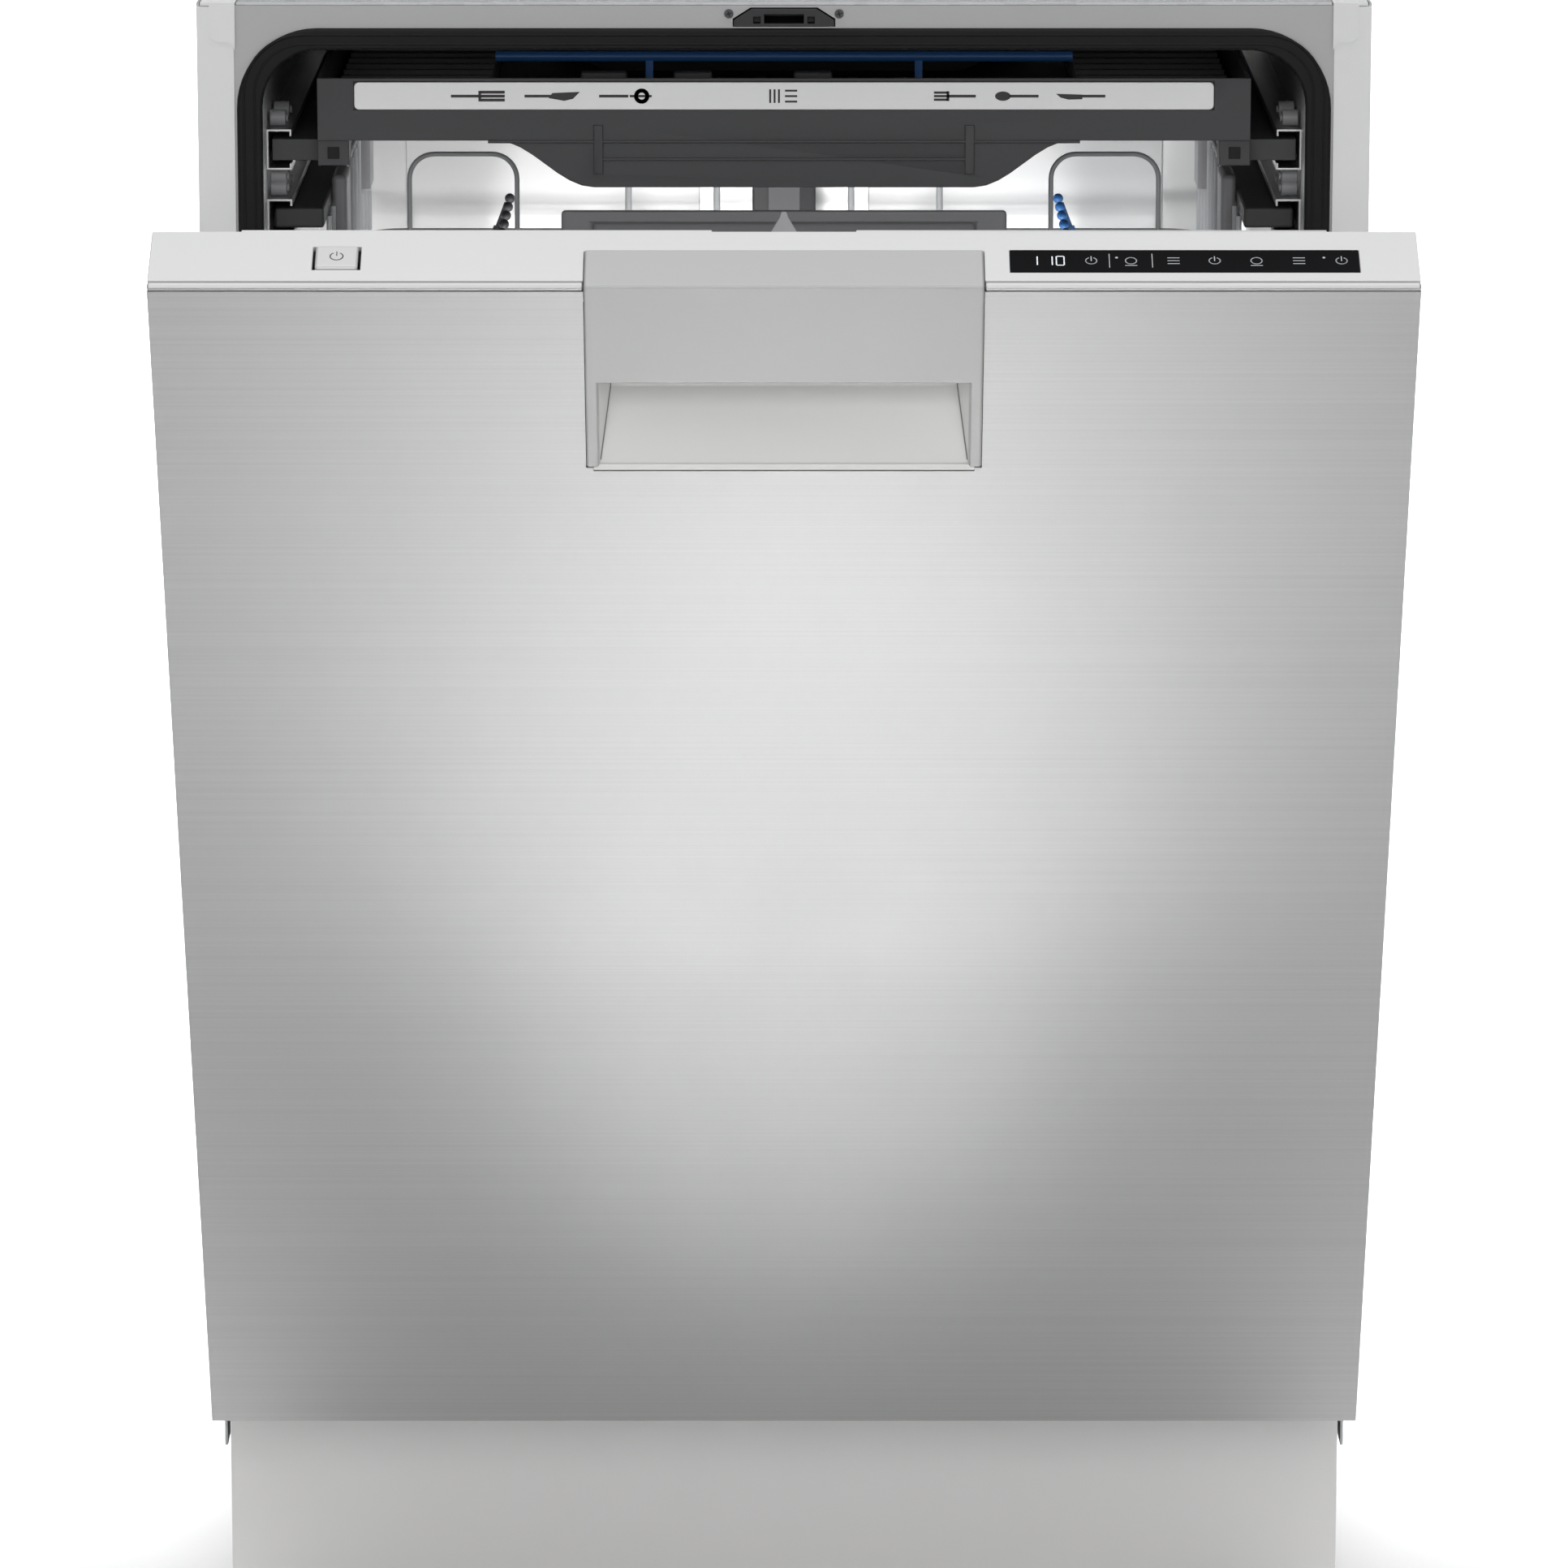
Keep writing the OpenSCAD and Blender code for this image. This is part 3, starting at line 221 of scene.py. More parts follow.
def shut_box(node):
    """The lowest and highest corners of a door node with the door shut."""
    upright = lean.inverted()
    points = [upright @ v.co for v in frame["nodes"][node].data.vertices]
    low = Vector([min(p[i] for p in points) for i in range(3)])
    high = Vector([max(p[i] for p in points) for i in range(3)])
    return low, high


def merged(node):
    """A bmesh copy of a CAD node with its vertices merged and its flat faces joined."""
    bm = bmesh.new()
    bm.from_mesh(frame["nodes"][node].data)
    bmesh.ops.remove_doubles(bm, verts=bm.verts, dist=0.00001)
    bmesh.ops.dissolve_limit(bm, angle_limit=radians(0.4), verts=bm.verts, edges=bm.edges)
    return bm


def finished(name, bm, material, edge=0.0, segments=3, smooth=35):
    """A new piece from a bmesh, with its edges rounded by a Bevel modifier where edge isn't 0."""
    mesh = bpy.data.meshes.new(name)
    bm.to_mesh(mesh)
    bm.free()
    mesh.materials.append(material)
    mesh.shade_smooth()
    mesh.set_sharp_from_angle(angle=radians(smooth))
    made = bpy.data.objects.new(name, mesh)
    scene.collection.objects.link(made)
    if edge:
        rounding = made.modifiers.new("edges", "BEVEL")
        rounding.width = edge
        rounding.segments = segments
        rounding.limit_method = "ANGLE"
        rounding.angle_limit = radians(30)
        rounding.harden_normals = True
        rounding.use_clamp_overlap = True
    return made


def fits(piece, body, slot, *nodes):
    """The piece rides on a body and stands for CAD nodes, if any are named, which it hides. The slot is not
    used.
    """
    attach(piece, body)
    if nodes:
        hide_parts(*nodes)


def from_cad(name, node, body, slot, *finish, **shading):
    """A piece with the shape of a CAD node, which it stands for."""
    fits(finished(name, merged(node), *finish, **shading), body, slot, node)


def added(name, bm, body, slot, *finish):
    """A piece that has no CAD node of its own, from a bmesh."""
    fits(finished(name, bm, *finish), body, slot)


door_steel = brushed("door_steel", (0.66, 0.66, 0.655), 0.36, (-ajar, 0, 0))
from_cad("door_skin", "door_panel", "door", "stainless", door_steel, smooth=5)


# ---- Control fascia
# The top edge of the door carries the controls. It is a satin silver moulding, with a narrow rim of
# the steel skin in front of it and a fine groove between the two.

def satin(name, colour, roughness=0.42, metallic=0.35, grain=2600, depth=0.000012):
    """Satin paint or anodised metal with a very fine grain."""
    finish = Finish(name, colour, roughness, metallic)
    speck = finish.noise(grain)
    cloud = finish.noise(5.0)
    finish.feed("Roughness", cloud * 0.1 + speck * 0.06 + (roughness - 0.08))
    finish.shades(cloud, colour, 0.96, 1.03)
    finish.bump(speck, depth, 0.3)
    return finish.material


def block(bm, low, high):
    """Adds a box between two corners to a bmesh."""
    size = Vector(high) - Vector(low)
    middle = (Vector(high) + Vector(low)) / 2
    place = Matrix.Translation(middle) @ Matrix.Diagonal((*size, 1))
    return bmesh.ops.create_cube(bm, size=1, matrix=place)["verts"]


fascia_low, fascia_high = shut_box("door_fascia")
rim_depth = 0.0042
groove = 0.0006
fascia_silver = satin("fascia_silver", (0.80, 0.80, 0.795), 0.38)
bm = merged("door_fascia")
cut = lean @ Vector((0, fascia_low.y + rim_depth + groove, fascia_high.z))
cut_normal = lean.to_3x3() @ Vector((0, -1, 0))
bmesh.ops.bisect_plane(bm, geom=bm.verts[:] + bm.edges[:] + bm.faces[:], plane_co=cut,
                       plane_no=cut_normal, clear_outer=True)
bmesh.ops.holes_fill(bm, edges=[e for e in bm.edges if e.is_boundary])
fascia = finished("control_fascia", bm, fascia_silver, 0.0005)
fits(fascia, "door", "silver_paint", "door_fascia")

trim_low, trim_high = shut_box("handle_trim")
skin_top = shut_box("door_panel")[1].z
for side, (x0, x1) in {"left": (fascia_low.x, trim_low.x - 0.0003),
                       "right": (trim_high.x + 0.0003, fascia_high.x)}.items():
    bm = bmesh.new()
    block(bm, (x0, fascia_low.y, skin_top), (x1, fascia_low.y + rim_depth, fascia_high.z))
    bm.transform(lean)
    added("door_top_rim_" + side, bm, "door", "stainless", door_steel, 0.0012, 4)


# ---- Display
# A strip of polished black glass lies flush in the fascia. The time and the small programme signs
# shine through it from below.
class Strokes:
    """Thin marks printed on a flat face, drawn on U and V axes from an origin, each a sliver of ink."""

    def __init__(self, origin, u, v, ink=0.00006):
        self.bm = bmesh.new()
        across = Vector(u).normalized()
        up = Vector(v).normalized()
        self.frame = Matrix.Translation(origin) @ Matrix((across, up, across.cross(up))).transposed().to_4x4()
        self.ink = ink

    def bar(self, a, b, width):
        """A straight stroke from a to b."""
        a, b = Vector((*a, 0)), Vector((*b, 0))
        turn = Matrix.Rotation((b - a).to_2d().angle_signed(Vector((1, 0)), 0), 4, "Z")
        size = Matrix.Diagonal(((b - a).length + width, width, self.ink, 1))
        lift = Matrix.Translation((a + b) / 2 + Vector((0, 0, self.ink / 2)))
        bmesh.ops.create_cube(self.bm, size=1, matrix=self.frame @ lift @ turn @ size)

    def fill(self, outline):
        """A solid patch inside an outline of points."""
        corners = [self.bm.verts.new(self.frame @ Vector((*point, self.ink))) for point in outline]
        self.bm.faces.new(corners)

    def dot(self, place, radius, sides=20):
        lift = Matrix.Translation((*place, self.ink / 2))
        bmesh.ops.create_cone(self.bm, cap_ends=True, segments=sides, radius1=radius, radius2=radius,
                              depth=self.ink, matrix=self.frame @ lift)

    def arc(self, place, radius, width, start=0.0, end=tau, steps=24):
        """A curved stroke round place, from one angle to another."""
        turns = [start + (end - start) * i / steps for i in range(steps + 1)]
        points = [(place[0] + radius * cos(turn), place[1] + radius * sin(turn)) for turn in turns]
        for a, b in zip(points, points[1:]):
            self.bar(a, b, width)


SEGMENTS = {"0": "abcdef", "1": "bc"}


def digit(strokes, sign, place, height, width):
    """A digit of straight segments with its foot at place. The middle segment isn't lit in 0 or 1."""
    w = height * 0.5
    x, y = place
    ends = {"a": ((0, 2), (1, 2)), "b": ((1, 2), (1, 1)), "c": ((1, 1), (1, 0)), "d": ((0, 0), (1, 0)),
            "e": ((0, 0), (0, 1)), "f": ((0, 1), (0, 2))}
    for name in SEGMENTS[sign]:
        (ax, ay), (bx, by) = ends[name]
        gap = width * 0.75
        a = Vector((x + ax * w, y + ay * height / 2))
        b = Vector((x + bx * w, y + by * height / 2))
        pull = (b - a).normalized() * gap
        strokes.bar(a + pull, b - pull, width)


def glowing(name, colour, strength):
    """Ink that is lit from behind."""
    finish = Finish(name, colour, 0.4)
    finish.feed("Emission Color", finish.mix(finish.noise(400), [c * 0.92 for c in colour], colour))
    finish.shader.inputs["Emission Strength"].default_value = strength
    return finish.material


glass = Finish("display_glass", (0.002, 0.002, 0.003), 0.12, 0.0, Specular_IOR_Level=0.03)
glass.feed("Roughness", glass.noise(60) * 0.05 + 0.1)
from_cad("display_glass", "display_window", "door", "black_glass", glass.material, 0.0004)

glass_low, glass_high = shut_box("display_window")
glass_w = glass_high.x - glass_low.x
glass_d = glass_high.y - glass_low.y
across = lean.to_3x3() @ Vector((1, 0, 0))
inward = lean.to_3x3() @ Vector((0, 1, 0))
sign_row = lean @ Vector((glass_low.x, (glass_low.y + glass_high.y) / 2, glass_high.z))

digits = Strokes(sign_row, across, inward)
for sign, place in (("1", 0.055), ("1", 0.098), ("0", 0.132)):
    digit(digits, sign, (glass_w * place, -glass_d * 0.20), glass_d * 0.40, 0.0006)
added("display_clock", digits.bm, "door", "light_plastic", glowing("lit_white", (0.8, 0.84, 0.88), 0.42))

signs = Strokes(sign_row, across, inward)
stroke = 0.0005
small = 0.0026
for count, share in enumerate((0.232, 0.346, 0.468, 0.586, 0.706, 0.828, 0.950)):
    x = glass_w * share
    if count % 3 == 0:
        signs.arc((x, 0), small, stroke, radians(120), radians(420))
        signs.bar((x, 0), (x, small * 1.3), stroke)
    elif count % 3 == 1:
        signs.arc((x, 0), small, stroke)
        signs.bar((x - small, -small * 1.5), (x + small, -small * 1.5), stroke)
    else:
        for lift in (-1, 0, 1):
            signs.bar((x - small, lift * small * 0.9), (x + small, lift * small * 0.9), stroke)
for share in (0.284, 0.407):
    for lift in (-1, 1):
        signs.bar((glass_w * share, 0), (glass_w * share, lift * glass_d * 0.3), stroke * 0.8)
for share in (0.305, 0.900):
    signs.dot((glass_w * share, glass_d * 0.14), 0.0007)
added("display_signs", signs.bm, "door", "light_plastic", glowing("dim_white", (0.5, 0.52, 0.53), 0.1))


# ---- Power key
# A square satin key in a dark well at the left of the fascia, with its sign moulded in grey.
key_low, key_high = shut_box("power_key")
key_silver = satin("key_silver", (0.72, 0.72, 0.715), 0.34)
from_cad("power_key_cap", "power_key", "power_key", "silver_paint", key_silver, 0.0014, 5)

key_middle = lean @ Vector(((key_low.x + key_high.x) / 2, (key_low.y + key_high.y) / 2, key_high.z))
power_sign = Strokes(key_middle, across, inward)
power_sign.arc((0, 0), 0.0030, 0.0006, radians(125), radians(415))
power_sign.bar((0, 0.0006), (0, 0.0036), 0.0006)
grey_ink = Finish("grey_ink", (0.22, 0.22, 0.22), 0.5)
grey_ink.feed("Roughness", grey_ink.noise(900) * 0.2 + 0.4)
sign = finished("power_sign", power_sign.bm, grey_ink.material)
fits(sign, "power_key", "dark_plastic")


# ---- Handle
# One satin moulding makes the cap on the door's top edge, the front plate and a cheek at each side of
# the grip. It is clipped over the fascia and the skin.
handle_satin = satin("handle_satin", (0.54, 0.54, 0.535), 0.36, 0.5)
from_cad("handle_moulding", "handle_trim", "door", "trim_aluminium", handle_satin, 0.0012, 4)


# ---- Grip pocket
# A smooth bowl of pale plastic behind the plate takes the fingers. Its back slopes out to the skin.
# Tapered walls close its sides, a fine dark seam runs along each, and a sill crosses its foot.
def moulded(name, colour, roughness=0.45, grain=1800, depth=0.00003, **constants):
    """Moulded plastic with a fine even grain and slightly uneven gloss."""
    finish = Finish(name, colour, roughness, 0.0, **constants)
    fine = finish.noise(grain)
    cloud = finish.noise(7.0)
    finish.feed("Roughness", cloud * 0.14 + fine * 0.05 + (roughness - 0.09))
    finish.shades(cloud, colour, 0.93, 1.05)
    finish.bump(fine, depth, 0.35)
    return finish.material


def wires(name, routes, radius, material, closed=False):
    """Round wires along routes of points, as one piece."""
    curve = bpy.data.curves.new(name, "CURVE")
    curve.dimensions = "3D"
    curve.bevel_depth = radius
    curve.bevel_resolution = 2
    curve.use_fill_caps = True
    for route in routes:
        spline = curve.splines.new("POLY")
        spline.points.add(len(route) - 1)
        spline.use_cyclic_u = closed
        for point, place in zip(spline.points, route):
            point.co = (*place, 1)
    drawn = bpy.data.objects.new(name, curve)
    bm = bmesh.new()
    bm.from_mesh(bpy.data.meshes.new_from_object(drawn))
    bpy.data.objects.remove(drawn)
    bmesh.ops.remove_doubles(bm, verts=bm.verts, dist=0.000001)
    bmesh.ops.recalc_face_normals(bm, faces=bm.faces)
    return finished(name, bm, material, smooth=50)


bowl_grey = moulded("bowl_grey", (0.92, 0.92, 0.90), 0.4)
from_cad("grip_bowl", "handle_pocket", "door", "light_plastic", bowl_grey, 0.0006)

pocket_low, pocket_high = shut_box("handle_pocket")
bowl_wall = 0.0018
taper = 0.005
grip_side = pocket_high.x - bowl_wall
grip_back = pocket_high.y - bowl_wall
grip_foot = pocket_low.z + bowl_wall
slope_rise = 0.027
seam_start = 0.0012
seam_y = grip_back - 0.0006
bm = bmesh.new()
seams = []
for side in (-1, 1):
    outline = [(side * grip_side, pocket_low.y), (side * grip_side, grip_back),
               (side * (grip_side - taper), grip_back)]
    corners = [[bm.verts.new((x, y, z)) for x, y in outline]
               for z in (grip_foot + 0.0005, pocket_high.z - bowl_wall)]
    bm.faces.new(corners[0])
    bm.faces.new(corners[1])
    for i in range(3):
        bm.faces.new((corners[0][i], corners[0][i - 1], corners[1][i - 1], corners[1][i]))
    seam = [(side * (grip_side - 0.0004), pocket_low.y + seam_start, grip_foot + seam_start),
            (side * (grip_side - taper), seam_y, grip_foot + slope_rise),
            (side * (grip_side - taper), seam_y, pocket_high.z - 0.004)]
    seams.append([lean @ Vector(point) for point in seam])
bmesh.ops.recalc_face_normals(bm, faces=bm.faces)
bm.transform(lean)
added("grip_side_walls", bm, "door", "light_plastic", bowl_grey, 0.0)
seam_lines = wires("grip_seams", seams, 0.00035, grey_ink.material)
fits(seam_lines, "door", "dark_plastic")

skin_y = pocket_low.y - 0.0016
sill_half = grip_side + 0.003
bm = bmesh.new()
block(bm, (-sill_half, skin_y + 0.0001, grip_foot - 0.0031), (sill_half, skin_y + 0.0016, grip_foot + 0.0003))
bm.transform(lean)
added("grip_sill", bm, "door", "light_plastic", bowl_grey, 0.0003)


# ---- Inner door
# The door's inner side is pressed from thin stainless sheet: a flat rim for the seal and a shallow
# bulge with large soft corners. Two long beads stiffen the bulge.
def sheet_steel(name, colour, roughness=0.3, grain=(40, 40, 900), metallic=1.0):
    """Bright cold-rolled stainless sheet with a faint rolling grain."""
    finish = Finish(name, colour, roughness, metallic)
    rolled = finish.noise(1, grain, detail=3.0)
    cloud = finish.noise(4.0)
    finish.feed("Roughness", rolled * 0.08 + cloud * 0.08 + (roughness - 0.08))
    finish.shades(cloud, colour, 0.93, 1.04)
    finish.bump(rolled, 0.00002, 0.2)
    return finish.material


def round_corners(bm, axis, radius, steps=6):
    """Rounds the edges of a bmesh that run along one axis, 0 for X, 1 for Y and 2 for Z."""
    edges = [e for e in bm.edges if abs((e.verts[0].co - e.verts[1].co).normalized()[axis]) > 0.99]
    bmesh.ops.bevel(bm, geom=edges, offset=radius, segments=steps, profile=0.5, affect="EDGES", material=-1)


tub_steel = sheet_steel("tub_steel", (0.86, 0.86, 0.855), 0.42, (12, 12, 60), 0.75)
from_cad("inner_door", "door_liner", "door", "tub_steel", tub_steel, 0.0016, 4)

liner_low, liner_high = shut_box("door_liner")
bead_half = 0.008
bead_proud = 0.0012
bead_length = 0.30
bead_foot = liner_low.z + 0.16
bm = bmesh.new()
for side in (-1, 1):
    middle = side * (liner_high.x - 0.075)
    block(bm, (middle - bead_half, liner_high.y - 0.0006, bead_foot),
          (middle + bead_half, liner_high.y + bead_proud, bead_foot + bead_length))
round_corners(bm, 1, 0.0078, 8)
bm.transform(lean)
added("inner_door_beads", bm, "door", "tub_steel", tub_steel, 0.0010, 3)


# ---- Door felt
# A slab of heavy bitumen felt behind the skin keeps the noise in.
felt = Finish("bitumen_felt", (0.055, 0.053, 0.05), 0.95)
fibre = felt.noise(260, detail=6.0)
felt.feed("Base Color", felt.mix(fibre, (0.03, 0.03, 0.03), (0.11, 0.105, 0.1)))
felt.bump(fibre, 0.0006, 0.8)
from_cad("door_felt", "door_insulation", "door", "wool", felt.material, 0.002)


# ---- Hinge arms
# A zinc-coated steel arm at each side of the door turns on the cabinet's pin. Two rivets hold its foot.
def zinc(name="zinc_sheet", colour=(0.56, 0.57, 0.575), roughness=0.42):
    """Galvanised sheet: a spangle of flat crystals, each with its own gloss."""
    finish = Finish(name, colour, roughness, 0.85)
    crystal = finish.node("ShaderNodeTexVoronoi", {}, {"Vector": finish.place(), "Scale": 90}, "Color")
    shade = finish.node("ShaderNodeSeparateColor", {}, {"Color": crystal}, 0)
    finish.shades(shade, colour, 0.88, 1.08)
    finish.feed("Roughness", shade * 0.18 + (roughness - 0.09))
    return finish.material


zinc_sheet = zinc()
from_cad("hinge_arms", "door_hinge_arms", "door", "galvanised", zinc_sheet, 0.0006)


# ---- Striker
# A pointed tongue of zinc-coated steel on the inner door's top edge snaps into the latch.
striker_zinc = zinc("striker_zinc", (0.30, 0.30, 0.31))
from_cad("striker_tongue", "door_striker", "door", "galvanised", striker_zinc, 0.0004)


# ---- Dispenser
# A grey plastic box is set into the inner door. It has a cup for the tablet, a spring lid over it, and
# the rinse-aid tank beside it with a round cap.
def rod(bm, start, end, radius, tip=None, sides=32):
    """Adds a round bar between two points to a bmesh, or a cone where tip is its end's radius."""
    start, end = Vector(start), Vector(end)
    length = (end - start).length
    place = Matrix.Translation((start + end) / 2) @ (end - start).to_track_quat("Z", "Y").to_matrix().to_4x4()
    return bmesh.ops.create_cone(bm, cap_ends=True, segments=sides, radius1=radius,
                                 radius2=radius if tip is None else tip, depth=length, matrix=place)["verts"]


dispenser_grey = moulded("dispenser_grey", (0.50, 0.51, 0.52), 0.38)
from_cad("dispenser_body", "dispenser", "door", "grey_plastic", dispenser_grey, 0.0014, 4)

lid_low, lid_high = shut_box("dispenser_lid")
lid_grey = moulded("lid_grey", (0.62, 0.63, 0.64), 0.3)
from_cad("tablet_lid", "dispenser_lid", "dispenser_lid", "light_plastic", lid_grey, 0.0011, 4)

bm = bmesh.new()
for i in range(5):
    z = lid_low.z + 0.052 + i * 0.0045
    block(bm, (lid_low.x + 0.016, lid_high.y - 0.0004, z),
          (lid_high.x - 0.016, lid_high.y + 0.0007, z + 0.0018))
block(bm, (lid_low.x + 0.024, lid_high.y - 0.0004, lid_low.z + 0.012),
      (lid_high.x - 0.024, lid_high.y + 0.0008, lid_low.z + 0.034))
bm.transform(lean)
added("tablet_lid_grip", bm, "dispenser_lid", "light_plastic", dispenser_grey, 0.0004)

cap_low, cap_high = shut_box("rinse_aid_cap")
cap_dark = moulded("cap_charcoal", (0.10, 0.105, 0.115), 0.4)
from_cad("rinse_cap", "rinse_aid_cap", "rinse_aid_cap", "dark_plastic", cap_dark, 0.0007)

bm = bmesh.new()
cap_middle = Vector(((cap_low.x + cap_high.x) / 2, cap_high.y - 0.0052, (cap_low.z + cap_high.z) / 2))
cap_radius = (cap_high.x - cap_low.x) / 2
for i in range(28):
    turn = tau * i / 28
    spot = cap_middle + Vector((cos(turn), 0, sin(turn))) * (cap_radius - 0.0003)
    rod(bm, spot - Vector((0, 0.0016, 0)), spot + Vector((0, 0.0016, 0)), 0.0007, sides=8)
bm.transform(lean)
added("rinse_cap_knurl", bm, "rinse_aid_cap", "dark_plastic", cap_dark)


# ---- Front frame
# The cabinet's front is folded from painted sheet steel round the tub's mouth. Satin cover strips are
# stuck over its side flanges, and an S-shaped satin tab screws up into the worktop at each corner.
frame_grey = satin("frame_grey", (0.48, 0.48, 0.48), 0.4, 0.4)
front = finished("front_flange", merged("front_frame"), frame_grey, 0.0004)
fits(front, "cabinet", "silver_paint", "front_frame")

strip_satin = satin("strip_satin", (0.88, 0.88, 0.875), 0.38, 0.1)
from_cad("cover_strips", "side_trims", "cabinet", "silver_paint", strip_satin, 0.0004)

from_cad("corner_tabs", "corner_brackets", "cabinet", "galvanised", strip_satin, 0.0003)


# ---- Door seal
# A black rubber profile runs round the mouth in one length. Two soft lips along it meet the inner door.
def arc_path(points, radius, steps=5):
    """The points of a bent wire: straight runs whose corners are turned to round bends."""
    route = [Vector(points[0])]
    for before, corner, after in zip(points, points[1:], points[2:]):
        corner = Vector(corner)
        back = (Vector(before) - corner).normalized()
        ahead = (Vector(after) - corner).normalized()
        half = back.angle(ahead) / 2
        centre = corner + (back + ahead).normalized() * radius / sin(half)
        first = corner + back * radius / tan(half) - centre
        axis = first.cross(corner + ahead * radius / tan(half) - centre).normalized()
        sweep = pi - 2 * half
        route += [centre + Matrix.Rotation(sweep * i / steps, 3, axis) @ first for i in range(steps + 1)]
    return route + [Vector(points[-1])]


rubber = Finish("seal_rubber", (0.006, 0.006, 0.006), 0.6, 0.0, Specular_IOR_Level=0.25)
bloom = rubber.noise(30, detail=5.0)
rubber.feed("Roughness", bloom * 0.2 + 0.42)
rubber.feed("Base Color", rubber.mix(bloom, (0.002, 0.002, 0.002), (0.006, 0.006, 0.007)))
rubber.bump(rubber.noise(2400), 0.00002, 0.3)
from_cad("door_seal_profile", "door_seal", "cabinet", "rubber", rubber.material, 0.0016, 4)

seal_low, seal_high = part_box("door_seal")
lip_radius = 0.0009
corner_bend = 0.034
routes = []
for inset in (0.0035, 0.0090):
    left, right = seal_low.x + inset, seal_high.x - inset
    top, foot = seal_high.z - inset * 0.85, seal_low.z + 0.001
    y = seal_low.y + lip_radius * 0.7
    corners = [(left, y, foot), (left, y, top), (right, y, top), (right, y, foot)]
    routes.append(arc_path(corners, corner_bend - inset, 12))
lips = wires("door_seal_lips", routes, lip_radius, rubber.material)
fits(lips, "cabinet", "rubber")


# ---- Latch
# A black plastic block in the top of the frame holds the door with a spring catch. A cross-head screw
# at each side fixes it.
latch_black = moulded("latch_black", (0.022, 0.022, 0.024), 0.42)
from_cad("latch_block", "latch_housing", "cabinet", "dark_plastic", latch_black, 0.0005)

steel_dark = Finish("screw_steel", (0.10, 0.10, 0.105), 0.4, 0.8)
steel_dark.feed("Roughness", steel_dark.noise(700) * 0.25 + 0.25)
from_cad("latch_screw_heads", "latch_screws", "cabinet", "spring_steel", steel_dark.material, 0.0005)

screw_low, screw_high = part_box("latch_screws")
head_radius = 0.0023
screw_z = (screw_low.z + screw_high.z) / 2
# The cross recess in each head isn't cut. Two crossed black bars paint its shade.
bm = bmesh.new()
for x in (screw_low.x + head_radius, screw_high.x - head_radius):
    for turn in (0.3, 0.3 + pi / 2):
        arm = Vector((cos(turn), 0, sin(turn))) * head_radius * 0.62
        centre = Vector((x, screw_low.y, screw_z))
        rod(bm, centre - arm, centre + arm, 0.00035, sides=8)
added("latch_screw_recess_shade", bm, "cabinet", "dark_plastic", latch_black)


# ---- Tub
# The tub is drawn from bright stainless sheet and open at the front. A raised panel on each side wall
# and on the back wall keeps the sheet from drumming.
from_cad("tub_shell", "tub", "cabinet", "tub_steel", tub_steel, 0.0)

tub_low, tub_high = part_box("tub")
wall_half = tub_high.x - 0.0012
back_y = tub_high.y - 0.0012
ceiling_z = tub_high.z - 0.0012
floor_z = tub_low.z + 0.0012
panel_proud = 0.0012
bm = bmesh.new()
for side in (-1, 1):
    block(bm, (side * wall_half, tub_low.y + 0.09, floor_z + 0.08),
          (side * (wall_half - panel_proud), back_y - 0.06, ceiling_z - 0.13))
round_corners(bm, 0, 0.03, 8)
added("tub_side_pressings", bm, "cabinet", "tub_steel", tub_steel, 0.0008)

duct_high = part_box("water_duct")[1]
bm = bmesh.new()
for side in (-1, 1):
    inner, outer = duct_high.x + 0.03, wall_half - 0.05
    block(bm, (min(side * inner, side * outer), back_y - panel_proud, floor_z + 0.06),
          (max(side * inner, side * outer), back_y, ceiling_z - 0.05))
round_corners(bm, 1, 0.022, 8)
added("tub_back_pressings", bm, "cabinet", "tub_steel", tub_steel, 0.0008)


# ---- Water riser
# A black channel clipped to the back wall carries the water up to the arms. Its lid is a lighter grey,
# and a socket at each basket's height meets the pipe of that arm.
riser_black = moulded("riser_black", (0.028, 0.028, 0.03), 0.4)
from_cad("riser_channel", "water_duct", "cabinet", "dark_plastic", riser_black, 0.0016, 4)

riser_front = back_y - 0.014
bm = bmesh.new()
block(bm, (-0.009, riser_front - 0.0008, floor_z + 0.03), (0.009, riser_front + 0.0004, ceiling_z - 0.008))
riser_grey = moulded("riser_grey", (0.13, 0.13, 0.135), 0.35)
added("riser_lid", bm, "cabinet", "grey_plastic", riser_grey, 0.0004)

upper_low, upper_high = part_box("upper_basket")
bm = bmesh.new()
for z in (upper_low.z - 0.009, floor_z + 0.045):
    rod(bm, (0, riser_front - 0.008, z), (0, riser_front + 0.001, z), 0.014)
    rod(bm, (0, riser_front - 0.009, z), (0, riser_front - 0.0079, z), 0.0105)
sockets = finished("riser_sockets", bm, riser_black, 0.0008)
fits(sockets, "cabinet", "dark_plastic")


# ---- Sump filters
# A stainless plate with a fine pattern of holes lies over the sump. In its middle stands the filter
# cylinder: a screen of plastic mesh with a handle across its top.
plate_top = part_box("filter_plate")[1].z
from_cad("filter_disc", "filter_plate", "cabinet", "tub_steel", tub_steel, 0.0004)

cup_low, cup_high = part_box("filter_cylinder")
cup_middle = (cup_low + cup_high) / 2
cup_radius = (cup_high.x - cup_low.x) / 2
# A near-black finish painted where shade would fill holes and slots. Nothing under it is cut away.
painted_hole_shade = moulded("sump_shadow", (0.01, 0.01, 0.01), 0.8)
arm_seat = Vector((0, (tub_low.y + back_y) / 2 - 0.001))
seat_radius = 0.014
